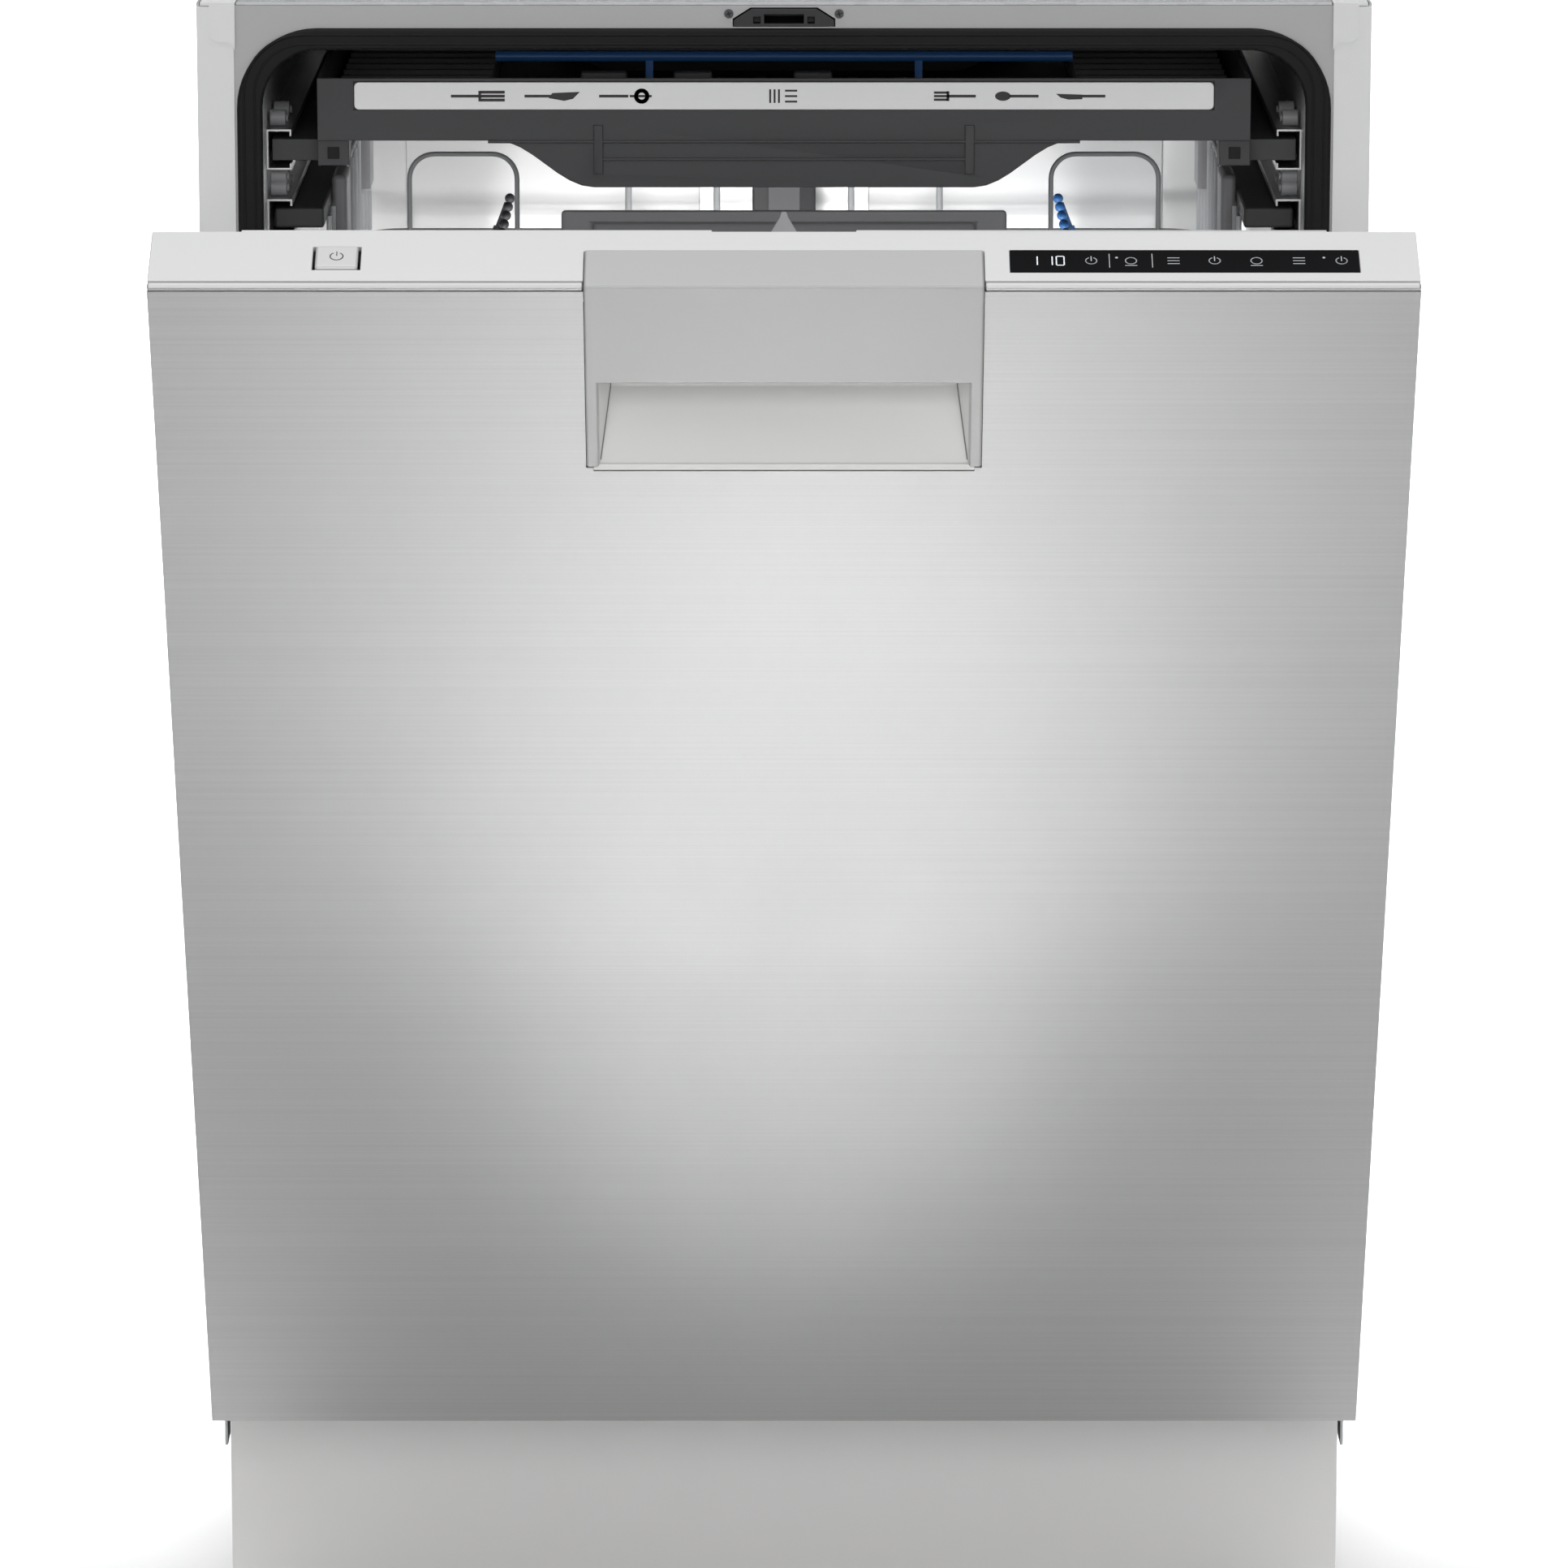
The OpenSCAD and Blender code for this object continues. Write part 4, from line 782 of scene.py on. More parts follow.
# The plate's holes aren't cut. Each one is a thin near-black disc of painted shade on its top.
bm = bmesh.new()
for ring in range(9):
    radius = cup_radius + 0.006 + ring * 0.0055
    count = int(tau * radius / 0.0065)
    for i in range(count):
        turn = tau * (i + 0.5 * (ring % 2)) / count
        spot = Vector((cup_middle.x + radius * cos(turn), cup_middle.y + radius * sin(turn), plate_top))
        if (spot.xy - arm_seat).length > seat_radius:
            rod(bm, spot - Vector((0, 0, 0.0002)), spot + Vector((0, 0, 0.00005)), 0.0014, sides=8)
added("filter_disc_hole_shade", bm, "cabinet", "dark_plastic", painted_hole_shade)

filter_grey = moulded("filter_grey", (0.12, 0.125, 0.13), 0.45)
from_cad("filter_cup", "filter_cylinder", "filter_cylinder", "grey_plastic", filter_grey, 0.0006)


def level_circle(centre, radius, steps=48):
    """The points of a level circle."""
    turns = [tau * i / steps for i in range(steps)]
    return [Vector(centre) + Vector((cos(turn), sin(turn), 0)) * radius for turn in turns]


ring_centre = (cup_middle.x, cup_middle.y, cup_high.z - 0.0049)
rings = [level_circle(ring_centre, cup_radius * (0.35 + 0.2 * i)) for i in range(4)]
grooves = wires("filter_cup_rings", rings, 0.0008, filter_grey, closed=True)
fits(grooves, "filter_cylinder", "grey_plastic")


# ---- Salt cap
# A ribbed plastic cap with a bar across it closes the salt container under the floor.
salt_low, salt_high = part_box("salt_cap")
salt_grey = moulded("salt_grey", (0.13, 0.135, 0.14), 0.42)
from_cad("salt_cap_body", "salt_cap", "salt_cap", "grey_plastic", salt_grey, 0.0006)

salt_middle = (salt_low + salt_high) / 2
salt_radius = (salt_high.x - salt_low.x) / 2
bm = bmesh.new()
for i in range(36):
    turn = tau * i / 36
    spot = Vector((salt_middle.x + (salt_radius - 0.0002) * cos(turn),
                   salt_middle.y + (salt_radius - 0.0002) * sin(turn), salt_high.z - 0.0092))
    rod(bm, spot, spot + Vector((0, 0, 0.0038)), 0.0009, sides=8)
added("salt_cap_ribs", bm, "salt_cap", "grey_plastic", salt_grey)


# ---- Rails
# Folded steel rails on the side walls guide the cutlery tray and the upper basket. Two rollers on a
# bracket run in the mouth of each, and a black stop closes its end.
rail_steel = sheet_steel("rail_steel", (0.68, 0.68, 0.68), 0.3, (900, 30, 900))
stop_black = moulded("stop_black", (0.03, 0.03, 0.032), 0.5)
roller_grey = moulded("roller_grey", (0.30, 0.30, 0.31), 0.4)
rail_w = 0.013
for rail in ("tray_rails", "basket_rails"):
    from_cad(rail + "_channels", rail, "cabinet", "tub_steel", rail_steel, 0.0003)
    rail_low, rail_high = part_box(rail)
    ends = bmesh.new()
    rollers = bmesh.new()
    for side in (-1, 1):
        outer = side * rail_high.x
        inner = side * (rail_high.x - rail_w)
        block(ends, (min(outer, inner), rail_high.y, rail_low.z),
              (max(outer, inner), rail_high.y + 0.006, rail_high.z))
        hub = side * (rail_high.x - 0.0015)
        for z in (rail_low.z - 0.0045, rail_high.z + 0.0045):
            for y in (rail_low.y + 0.012, rail_low.y + 0.046):
                rod(rollers, (hub, y, z), (hub - side * 0.008, y, z), 0.0042)
                rod(rollers, (hub - side * 0.008, y, z), (hub - side * 0.0092, y, z), 0.0020)
    added(rail + "_stops", ends, "cabinet", "dark_plastic", stop_black, 0.0008)
    added(rail + "_rollers", rollers, "cabinet", "grey_plastic", roller_grey, 0.0004)


# ---- Cutlery tray
# A shallow tray of dark grey plastic fills the width under the ceiling, with a deeper middle. Fine ribs
# stiffen its front, and slots in its floor let the water through.
tray_grey = moulded("tray_grey", (0.052, 0.052, 0.055), 0.5, 1200)
from_cad("tray_moulding", "cutlery_tray", "cutlery_tray", "dark_plastic", tray_grey, 0.0006)

tray_low, tray_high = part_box("cutlery_tray")
strip_low, strip_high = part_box("tray_front_strip")
tray_half = strip_high.x + 0.019
tray_front = strip_high.y - 0.001
deep_z = tray_low.z
wing_z = tray_high.z - 0.032
slope_out = tray_half - 0.091
slope_in = slope_out - 0.050
# The floor's slots aren't cut. Each one is a thin near-black patch of painted shade.
bm = bmesh.new()
for row in range(11):
    y = tray_front + 0.030 + row * 0.038
    for column in range(7):
        x = (column - 3) * 0.026
        block(bm, (x - 0.010, y, deep_z + 0.0024), (x + 0.010, y + 0.024, deep_z + 0.0027))
added("tray_floor_slot_shade", bm, "cutlery_tray", "dark_plastic", painted_hole_shade, 0.0)

routes = []
for z, spread in ((wing_z - 0.0005, slope_out + 0.004), (deep_z + 0.0145, slope_in - 0.004)):
    routes.append([(-spread, tray_front - 0.0002, z), (spread, tray_front - 0.0002, z)])
ridge = wires("tray_front_ridges", routes, 0.0008, tray_grey)
fits(ridge, "cutlery_tray", "dark_plastic")

# The catch holes aren't cut. A dark patch of painted shade stands for each one.
bm = bmesh.new()
for side in (-1, 1):
    x = side * (tray_half - 0.008)
    block(bm, (x - 0.0030, tray_front + 0.0012, wing_z - 0.0095),
          (x + 0.0030, tray_front + 0.0022, wing_z - 0.0035))
added("tray_catch_hole_shade", bm, "cutlery_tray", "dark_plastic", painted_hole_shade, 0.0003)


# ---- Tray strip
# A satin metal strip with round ends is let into the tray's front. Small signs printed on it show what
# lies where: a turner, a cake knife, a pastry wheel, the slots, a fork, a spoon and a knife.
strip_metal = satin("strip_metal", (0.92, 0.92, 0.915), 0.34, 0.1)
from_cad("tray_strip", "tray_front_strip", "cutlery_tray", "trim_aluminium", strip_metal, 0.0005)

strip_middle = Vector((0, strip_low.y, (strip_low.z + strip_high.z) / 2))
print_black = Finish("print_black", (0.03, 0.03, 0.03), 0.5)
print_black.feed("Roughness", print_black.noise(900) * 0.2 + 0.4)
marks = Strokes(strip_middle, (1, 0, 0), (0, 0, 1))
line = 0.0014
marks.bar((-0.1690, 0), (-0.1560, 0), line)                     # a turner with a slotted blade
for lift in (-0.0020, 0, 0.0020):
    marks.bar((-0.1540, lift), (-0.1430, lift), 0.0015)
marks.bar((-0.1550, -0.0020), (-0.1550, 0.0020), line)
marks.bar((-0.1315, 0), (-0.1195, 0), line)                     # a cake knife with a pointed blade
marks.fill([(-0.1200, -0.0010), (-0.1180, 0.0016), (-0.1040, 0.0022), (-0.1075, -0.0014), (-0.1120, -0.0024)])
marks.bar((-0.0935, 0), (-0.0800, 0), line)                     # a pastry wheel
marks.arc((-0.0725, 0), 0.0028, 0.0020)
marks.bar((-0.0780, 0), (-0.0680, 0), 0.0012)
for lift in (-0.0028, 0, 0.0028):                               # slots: three upright, three level
    marks.bar((-0.0048 + lift * 0.8, -0.0030), (-0.0048 + lift * 0.8, 0.0030), 0.0010)
    marks.bar((0.0010, lift), (0.0062, lift), 0.0010)
marks.bar((0.0840, 0), (0.0970, 0), line)                       # a fork
for lift in (-0.0018, 0, 0.0018):
    marks.bar((0.0770, lift), (0.0830, lift), 0.0012)
marks.bar((0.0835, -0.0018), (0.0835, 0.0018), line)
marks.bar((0.1155, 0), (0.1290, 0), line)                       # a spoon
marks.fill([(0.1115 + 0.0040 * cos(i * tau / 24), 0.0024 * sin(i * tau / 24)) for i in range(24)])
marks.bar((0.1520, 0), (0.1630, 0), line)                       # a knife
marks.fill([(0.1520, -0.0016), (0.1520, 0.0008), (0.1385, 0.0012), (0.1410, -0.0008), (0.1450, -0.0018)])
signs = finished("tray_strip_signs", marks.bm, print_black.material)
fits(signs, "cutlery_tray", "dark_plastic")


# ---- Cutlery inserts
# Slotted racks stand in the tray's wings, and a blue plastic rest on two feet crosses its middle. Black
# combs at the front hold long tools apart.
insert_grey = moulded("insert_grey", (0.06, 0.06, 0.063), 0.5)
rest_blue = moulded("rest_blue", (0.035, 0.15, 0.44), 0.35)


def only(bm, keeps):
    """Deletes a bmesh's faces whose middles don't pass a test."""
    bmesh.ops.delete(bm, geom=[f for f in bm.faces if not keeps(f.calc_center_median())], context="FACES")
    return bm


bm = only(merged("cutlery_inserts"), lambda middle: abs(middle.x) > slope_out)
racks = finished("tray_racks", bm, insert_grey, 0.0005)
fits(racks, "cutlery_tray", "dark_plastic", "cutlery_inserts")
bm = only(merged("cutlery_inserts"), lambda middle: abs(middle.x) < slope_out)
added("tray_blue_rest", bm, "cutlery_tray", "blue_plastic", rest_blue, 0.0005)

rest_y = tray_front + 0.092
rest_z = tray_high.z
bm = bmesh.new()
for x, half in ((-0.093, 0.012), (-0.047, 0.010), (0.015, 0.010)):
    block(bm, (x - half, rest_y - 0.034, deep_z + 0.0025), (x + half, rest_y - 0.026, rest_z - 0.004))
added("tray_combs", bm, "cutlery_tray", "dark_plastic", insert_grey, 0.0015)


# ---- Upper basket
# Nylon-coated steel wire, welded where it crosses: a floor of wires folded up into the side walls, with
# long rails round the rim. A runner at each side slides in the tub's rail.
wire_grey = Finish("wire_nylon", (0.40, 0.41, 0.42), 0.38, 0.0, Coat_Weight=0.25, Coat_Roughness=0.3)
wire_grey.feed("Roughness", wire_grey.noise(160) * 0.16 + 0.3)
wire_grey.feed("Base Color", wire_grey.mix(wire_grey.noise(40), (0.37, 0.38, 0.39), (0.44, 0.45, 0.46)))
wire_grey.bump(wire_grey.noise(1500), 0.00003, 0.3)
thin = 0.0014
thick = 0.0019


def rounded_loop(half, y0, y1, z, bend=0.022):
    """A closed level wire round a basket, as an open route whose ends meet behind."""
    corners = [(0, y1, z), (half, y1, z), (half, y0, z), (-half, y0, z), (-half, y1, z), (0, y1, z)]
    return arc_path(corners, bend, 6)


def basket_wires(half, y0, y1, z0, z1, front_top, back_top, across_pitch, along_pitch):
    """Routes of a basket's wires: U-shaped floor wires, level rails, then wires from front to back."""
    routes = []
    count = int((y1 - y0 - 0.03) / across_pitch)
    for i in range(count + 1):
        y = y0 + 0.015 + (y1 - y0 - 0.03) * i / count
        routes.append(arc_path([(-half, y, z1), (-half, y, z0), (half, y, z0), (half, y, z1)], 0.018, 5))
    count = int((2 * half - 0.05) / along_pitch)
    for i in range(count + 1):
        x = -half + 0.025 + (2 * half - 0.05) * i / count
        routes.append(arc_path([(x, y0, front_top), (x, y0, z0 + 0.0025), (x, y1, z0 + 0.0025),
                                (x, y1, back_top)], 0.016, 5))
    return routes


rack_half = tray_half - 0.0018
rack_y0, rack_y1 = upper_low.y + 0.0018, upper_high.y - 0.0018
upper_z0 = upper_low.z + 0.0018
upper_z1 = upper_low.z + 0.140 - 0.002
front_rim = upper_z1 - 0.020
back_rim = upper_z1 - 0.070
routes = basket_wires(rack_half - 0.002, rack_y0 + 0.002, rack_y1 - 0.002, upper_z0, upper_z1, front_rim,
                      back_rim, 0.036, 0.040)
upper = wires("upper_basket_wires", routes, thin, wire_grey.material)
fits(upper, "upper_basket", "coated_wire", "upper_basket")

routes = [rounded_loop(rack_half, rack_y0, rack_y1, z) for z in (back_rim, upper_z0 + 0.034)]
routes.append(arc_path([(rack_half, rack_y0 + 0.12, front_rim), (rack_half, rack_y0, front_rim),
                        (-rack_half, rack_y0, front_rim), (-rack_half, rack_y0 + 0.12, front_rim)], 0.022, 6))
for side in (-1, 1):
    x = side * rack_half
    routes.append(arc_path([(x, rack_y0 + 0.05, front_rim), (x, rack_y0 + 0.09, upper_z1),
                            (x, rack_y1 - 0.05, upper_z1), (x, rack_y1, back_rim)], 0.014, 6))
for x in (-0.088, -0.038, 0.038, 0.088):
    routes.append([(x, rack_y1 - 0.004, upper_z0), (x, rack_y1 - 0.004, deep_z - 0.004)])
rims = wires("upper_basket_rims", routes, thick, wire_grey.material)
fits(rims, "upper_basket", "coated_wire")

basket_rail_low, basket_rail_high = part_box("basket_rails")
rail_middle = (basket_rail_low.z + basket_rail_high.z) / 2
bm = bmesh.new()
for side in (-1, 1):
    near, far = side * rack_half, side * (basket_rail_high.x - 0.0035)
    block(bm, (min(near, far), rack_y0 + 0.006, rail_middle - 0.0052),
          (max(near, far), rack_y1, rail_middle + 0.0052))
added("upper_basket_runners", bm, "upper_basket", "dark_plastic", stop_black, 0.0015)

bm = bmesh.new()
for side in (-1, 1):
    x = side * (rack_half - 0.004)
    for y in (rack_y0 + 0.10, rack_y1 - 0.10):
        block(bm, (x - 0.004, y - 0.020, rail_middle - 0.032), (x + 0.004, y + 0.020, rail_middle + 0.012))
added("upper_basket_height_levers", bm, "upper_basket", "grey_plastic", roller_grey, 0.003, 4)


# ---- Upper basket's handle
# A grey moulding clipped over the two front wires, with a hollow for the fingers.
grip_grey = moulded("grip_grey", (0.19, 0.19, 0.197), 0.36)
from_cad("upper_handle", "upper_basket_handle", "upper_basket", "grey_plastic", grip_grey, 0.0026, 4)


# ---- Soft spikes
# Two combs of soft plastic fingers hold glasses apart. Each finger is ribbed and has a round tip.
spike_low, spike_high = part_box("soft_spikes")
spike_lean = radians(20)
spike_inset = 0.052
foot_z = upper_low.z + 0.0046
spike_blue = moulded("spike_blue", (0.03, 0.16, 0.46), 0.4)
spike_dark = moulded("spike_dark", (0.05, 0.05, 0.055), 0.45)
for side, soft in ((-1, spike_dark), (1, spike_blue)):
    foot = Vector((side * (tray_half - spike_inset), 0, foot_z))
    rise = Vector((-side * sin(spike_lean), 0, cos(spike_lean)))
    bm = bmesh.new()
    for i in range(6):
        y = spike_low.y + 0.003 + i * 0.034
        start = foot + Vector((0, y, 0)) + rise * 0.004
        rod(bm, start, start + rise * 0.087, 0.0030, 0.0022, sides=16)
        bmesh.ops.create_uvsphere(bm, u_segments=16, v_segments=8, radius=0.0029,
                                  matrix=Matrix.Translation(start + rise * 0.09))
        for share in (0.2, 0.4, 0.6, 0.8):
            rod(bm, start + rise * 0.087 * share, start + rise * (0.087 * share + 0.003), 0.0034, sides=16)
    bar = foot + rise * 0.003
    rod(bm, bar + Vector((0, spike_low.y, 0)), bar + Vector((0, spike_high.y, 0)), 0.003, sides=16)
    fingers = finished("soft_spikes_" + ("left" if side < 0 else "right"), bm, soft)
    fits(fingers, "upper_basket", "blue_plastic", *(["soft_spikes"] if side < 0 else []))


# ---- Glass rests
# A hoop of coated wire at each side of the basket folds down to carry stemmed glasses.
rest_low, rest_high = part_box("glass_rests")
hoop_y = (rest_low.y + rest_high.y) / 2
hoop_foot = rest_low.z + thin
hoop_top = rest_high.z - thick
rest_half_w = 0.028
routes = []
for side in (-1, 1):
    x = side * (rest_high.x - rest_half_w - 0.008)
    left, right = x - rest_half_w, x + rest_half_w
    routes.append([(left - 0.008, hoop_y, hoop_foot), (right + 0.008, hoop_y, hoop_foot)])
    routes.append(arc_path([(left, hoop_y, hoop_foot), (left, hoop_y, hoop_top),
                            (right, hoop_y, hoop_top), (right, hoop_y, hoop_foot)], 0.013, 8))
hoops = wires("glass_rest_hoops", routes, 0.0013, wire_grey.material)
fits(hoops, "glass_rests", "coated_wire", "glass_rests")


# ---- Spray arms
# Each arm is a flat hollow moulding on a hub: two blades that taper to round tips, with a row of
# nozzles. The jets lean, so the water drives the arm round. The small satellite turns on the lower one.
def blade(hub, reach, root, tip, thickness):
    """A bmesh of two tapering blades across a hub, lying on the hub's level."""
    bm = bmesh.new()
    bmesh.ops.create_grid(bm, x_segments=40, y_segments=1, size=1, matrix=Matrix.Diagonal((reach, 1, 1, 1)))
    straight, rounding = 0.2, 0.05
    for v in bm.verts:
        share = abs(v.co.x) / reach
        half = root if share < straight else root + (tip - root) * (share - straight) / (1 - straight)
        past = max(0, share - 1 + rounding) / rounding
        v.co.y = (half * (1 - 0.55 * past ** 2)) * (1 if v.co.y > 0 else -1)
    lifted = bmesh.ops.extrude_face_region(bm, geom=bm.faces[:])["geom"]
    top = [g for g in lifted if isinstance(g, bmesh.types.BMVert)]
    bmesh.ops.translate(bm, verts=top, vec=(0, 0, thickness))
    bmesh.ops.translate(bm, verts=bm.verts, vec=hub)
    bmesh.ops.recalc_face_normals(bm, faces=bm.faces)
    return bm


def nozzles(bm, hub, reach, z, count, sink):
    """Small oval jets along both blades, alternately before and behind the middle line."""
    for side in (-1, 1):
        for i in range(count):
            x = hub[0] + side * reach * (0.22 + 0.7 * i / (count - 1))
            y = hub[1] + (0.004 if i % 2 else -0.004) * side
            rod(bm, (x, y, z), (x, y, z + sink), 0.0026, 0.0019, sides=14)


arm_grey = moulded("arm_grey", (0.16, 0.165, 0.17), 0.4)
jet_black = moulded("jet_black", (0.02, 0.02, 0.022), 0.5)
arm_blue = moulded("ceiling_arm_blue", (0.05, 0.21, 0.50), 0.35)
for name, slot_name, material, root, tip, thickness, jets, up in (
        ("ceiling_spray_arm", "grey_plastic", arm_blue, 0.015, 0.010, 0.005, 5, False),
        ("middle_spray_arm", "grey_plastic", arm_grey, 0.019, 0.013, 0.008, 7, True),
        ("lower_spray_arm", "grey_plastic", arm_grey, 0.020, 0.014, 0.008, 6, True),
        ("satellite_spray_arm", "light_plastic", roller_grey, 0.009, 0.006, 0.005, 3, True)):
    arm_low, arm_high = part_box(name)
    middle = (arm_low + arm_high) / 2
    reach = (arm_high.x - arm_low.x) / 2
    on_top = name in ("lower_spray_arm", "satellite_spray_arm")
    hub = Vector((middle.x, middle.y, arm_high.z - thickness if on_top else arm_low.z))
    bm = blade(hub, reach, root, tip, thickness)
    rod(bm, hub - Vector((0, 0, 0.0001)), hub + Vector((0, 0, thickness + 0.0001)), root + 0.006, sides=40)
    if name != "satellite_spray_arm":
        rod(bm, (hub.x, hub.y, arm_low.z), (hub.x, hub.y, arm_high.z), 0.0108, sides=32)
    arm = finished(name + "_blades", bm, material, 0.0016, 4)
    fits(arm, name, slot_name, name)
    bm = bmesh.new()
    if up:
        nozzles(bm, hub, reach, hub.z + thickness - 0.0006, jets, 0.0016)
    else:
        nozzles(bm, hub, reach, hub.z + 0.0006, jets, -0.0016)
    added(name + "_jets", bm, name, "dark_plastic", jet_black)

middle_low, middle_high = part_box("middle_spray_arm")
pipe_z = upper_low.z - 0.009
pipe_y = (middle_low.y + middle_high.y) / 2
bm = bmesh.new()
rod(bm, (0, pipe_y, pipe_z + 0.0025), (0, riser_front - 0.0095, pipe_z + 0.0025), 0.0050)
rod(bm, (0, riser_front - 0.024, pipe_z), (0, riser_front - 0.0095, pipe_z), 0.0085, 0.0105)
for y in (pipe_y + 0.05, pipe_y + 0.14):
    block(bm, (-0.010, y - 0.004, pipe_z), (0.010, y + 0.004, upper_low.z + 0.004))
feed = finished("middle_arm_feed_pipe", bm, arm_grey, 0.0006)
fits(feed, "upper_basket", "grey_plastic")


# ---- Lower basket
# The lower basket is a deeper cage of the same coated wire. It rolls on the door and on the tub's floor.
lower_low, lower_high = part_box("lower_basket")
lower_y0, lower_y1 = lower_low.y + 0.0018, lower_high.y - 0.0018
lower_z0, lower_z1 = lower_low.z + 0.0018, lower_high.z - 0.002
lower_front = lower_z1 - 0.045
routes = basket_wires(rack_half - 0.002, lower_y0 + 0.002, lower_y1 - 0.002, lower_z0, lower_z1,
                      lower_front, lower_z1, 0.036, 0.040)
cage = wires("lower_basket_wires", routes, thin, wire_grey.material)
fits(cage, "lower_basket", "coated_wire", "lower_basket")
routes = [rounded_loop(rack_half, lower_y0, lower_y1, lower_front),
          rounded_loop(rack_half, lower_y0, lower_y1, lower_z0 + 0.055)]
routes.append(arc_path([(rack_half, lower_y0 + 0.04, lower_front), (rack_half, lower_y0 + 0.12, lower_z1),
                        (rack_half, lower_y1, lower_z1), (-rack_half, lower_y1, lower_z1),
                        (-rack_half, lower_y0 + 0.12, lower_z1), (-rack_half, lower_y0 + 0.04, lower_front)],
                       0.014, 6))
rims = wires("lower_basket_rims", routes, thick, wire_grey.material)
fits(rims, "lower_basket", "coated_wire")

from_cad("lower_handle", "lower_basket_handle", "lower_basket", "grey_plastic", grip_grey, 0.0026, 4)


# ---- Plate racks
# A row of V-shaped tines stands on a wire at each side of the middle. It folds flat for pans.
for side in ("left", "right"):
    rack_low, rack_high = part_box("plate_rack_" + side)
    x = (rack_low.x + rack_high.x) / 2
    axle_z = rack_low.z + 0.0015
    tine_count = 10
    routes = [[(x, rack_low.y, axle_z), (x, rack_high.y, axle_z)]]
    first, last = rack_low.y + 0.0112, rack_high.y - 0.0112
    for i in range(tine_count):
        y = first + (last - first) * i / (tine_count - 1)
        routes.append([(x, y, axle_z), (x, y, rack_high.z - 0.002)])
    tines = wires("plate_rack_tines_" + side, routes, 0.00135, wire_grey.material)
    fits(tines, "plate_rack_" + side, "coated_wire", "plate_rack_" + side)
    bm = bmesh.new()
    for i in range(tine_count):
        y = first + (last - first) * i / (tine_count - 1)
        bmesh.ops.create_uvsphere(bm, u_segments=12, v_segments=8, radius=0.0019,
                                  matrix=Matrix.Translation((x, y, rack_high.z - 0.002)))
    added("plate_rack_tips_" + side, bm, "plate_rack_" + side, "grey_plastic", grip_grey)


# ---- Basket wheels
# Eight-millimetre plastic wheels, dished on both faces, turn on axles that are moulded with the clips.
wheel_grey = moulded("wheel_grey", (0.17, 0.17, 0.175), 0.45)
from_cad("wheel_clips", "wheel_carriers", "lower_basket", "grey_plastic", wheel_grey, 0.0008)
wheel_w = 0.008
for name in ("wheels_front", "wheels_rear"):
    wheel_low, wheel_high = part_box(name)
    radius = (wheel_high.z - wheel_low.z) / 2
    y, z = (wheel_low.y + wheel_high.y) / 2, (wheel_low.z + wheel_high.z) / 2
    bm = bmesh.new()
    for side in (-1, 1):
        outer, inner = side * wheel_high.x, side * (wheel_high.x - wheel_w)
        rod(bm, (inner, y, z), (outer, y, z), radius, sides=48)
    caps = [f for f in bm.faces if len(f.verts) > 4]
    bmesh.ops.inset_individual(bm, faces=caps, thickness=0.0035, depth=0)
    bmesh.ops.inset_individual(bm, faces=caps, thickness=0.0006, depth=-0.0018)
    bmesh.ops.inset_individual(bm, faces=caps, thickness=0.0055, depth=0)
    bmesh.ops.inset_individual(bm, faces=caps, thickness=0.0005, depth=0.0016)
    discs = finished(name + "_discs", bm, wheel_grey, 0.0005)
    fits(discs, name, "grey_plastic", name)


# ---- Outer panels
# Galvanised sheet closes the sides, the top and the back. Long beads pressed into the sides and the
# back keep them flat, and the bare zinc shows its spangle.
from_cad("side_sheets", "side_panels", "cabinet", "galvanised", zinc_sheet, 0.0003)

panel_low, panel_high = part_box("side_panels")
bm = bmesh.new()
sheet = 0.0014
for side in (-1, 1):
    inner = side * (panel_high.x - sheet)
    for rise in (0.19, 0.34, 0.49, 0.64):
        z = panel_low.z + rise
        block(bm, (min(inner, inner - side * 0.003), front_y + 0.09, z),
              (max(inner, inner - side * 0.003), panel_high.y - 0.07, z + 0.018))
round_corners(bm, 0, 0.0088, 8)
added("side_stiffeners", bm, "cabinet", "galvanised", zinc_sheet, 0.0012, 3)

from_cad("top_sheet", "top_panel", "cabinet", "galvanised", zinc_sheet, 0.0003)

rear_low, rear_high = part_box("rear_panel")
from_cad("rear_sheet", "rear_panel", "cabinet", "galvanised", zinc_sheet, 0.0003)
bm = bmesh.new()
for side in (-1, 0, 1):
    x = side * 0.17
    block(bm, (x - 0.035, rear_high.y - 0.0006, rear_low.z + 0.06),
          (x + 0.035, rear_high.y + 0.0012, rear_high.z - 0.06))
round_corners(bm, 1, 0.03, 8)
added("rear_pressings", bm, "cabinet", "galvanised", zinc_sheet, 0.0008)

bm = bmesh.new()
for side in (-1, 1):
    for share in (0.03, 0.35, 0.65, 0.97):
        z = rear_low.z + (rear_high.z - rear_low.z) * share
        spot = Vector((side * (rear_high.x - 0.010), rear_high.y, z))
        rod(bm, spot - Vector((0, 0.001, 0)), spot + Vector((0, 0.0013, 0)), 0.0042, 0.0034, sides=20)
added("rear_screw_heads", bm, "cabinet", "spring_steel", steel_dark.material, 0.0004)


# ---- Base
# A black plastic tray carries the machine and catches leaks. Ribs run round its walls, and the feet
# screw into sockets in its corners.
base_low, base_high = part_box("base_tray")
base_black = moulded("base_black", (0.022, 0.022, 0.024), 0.55)
base = finished("base_moulding", merged("base_tray"), base_black, 0.0016)
fits(base, "cabinet", "dark_plastic", "base_tray")

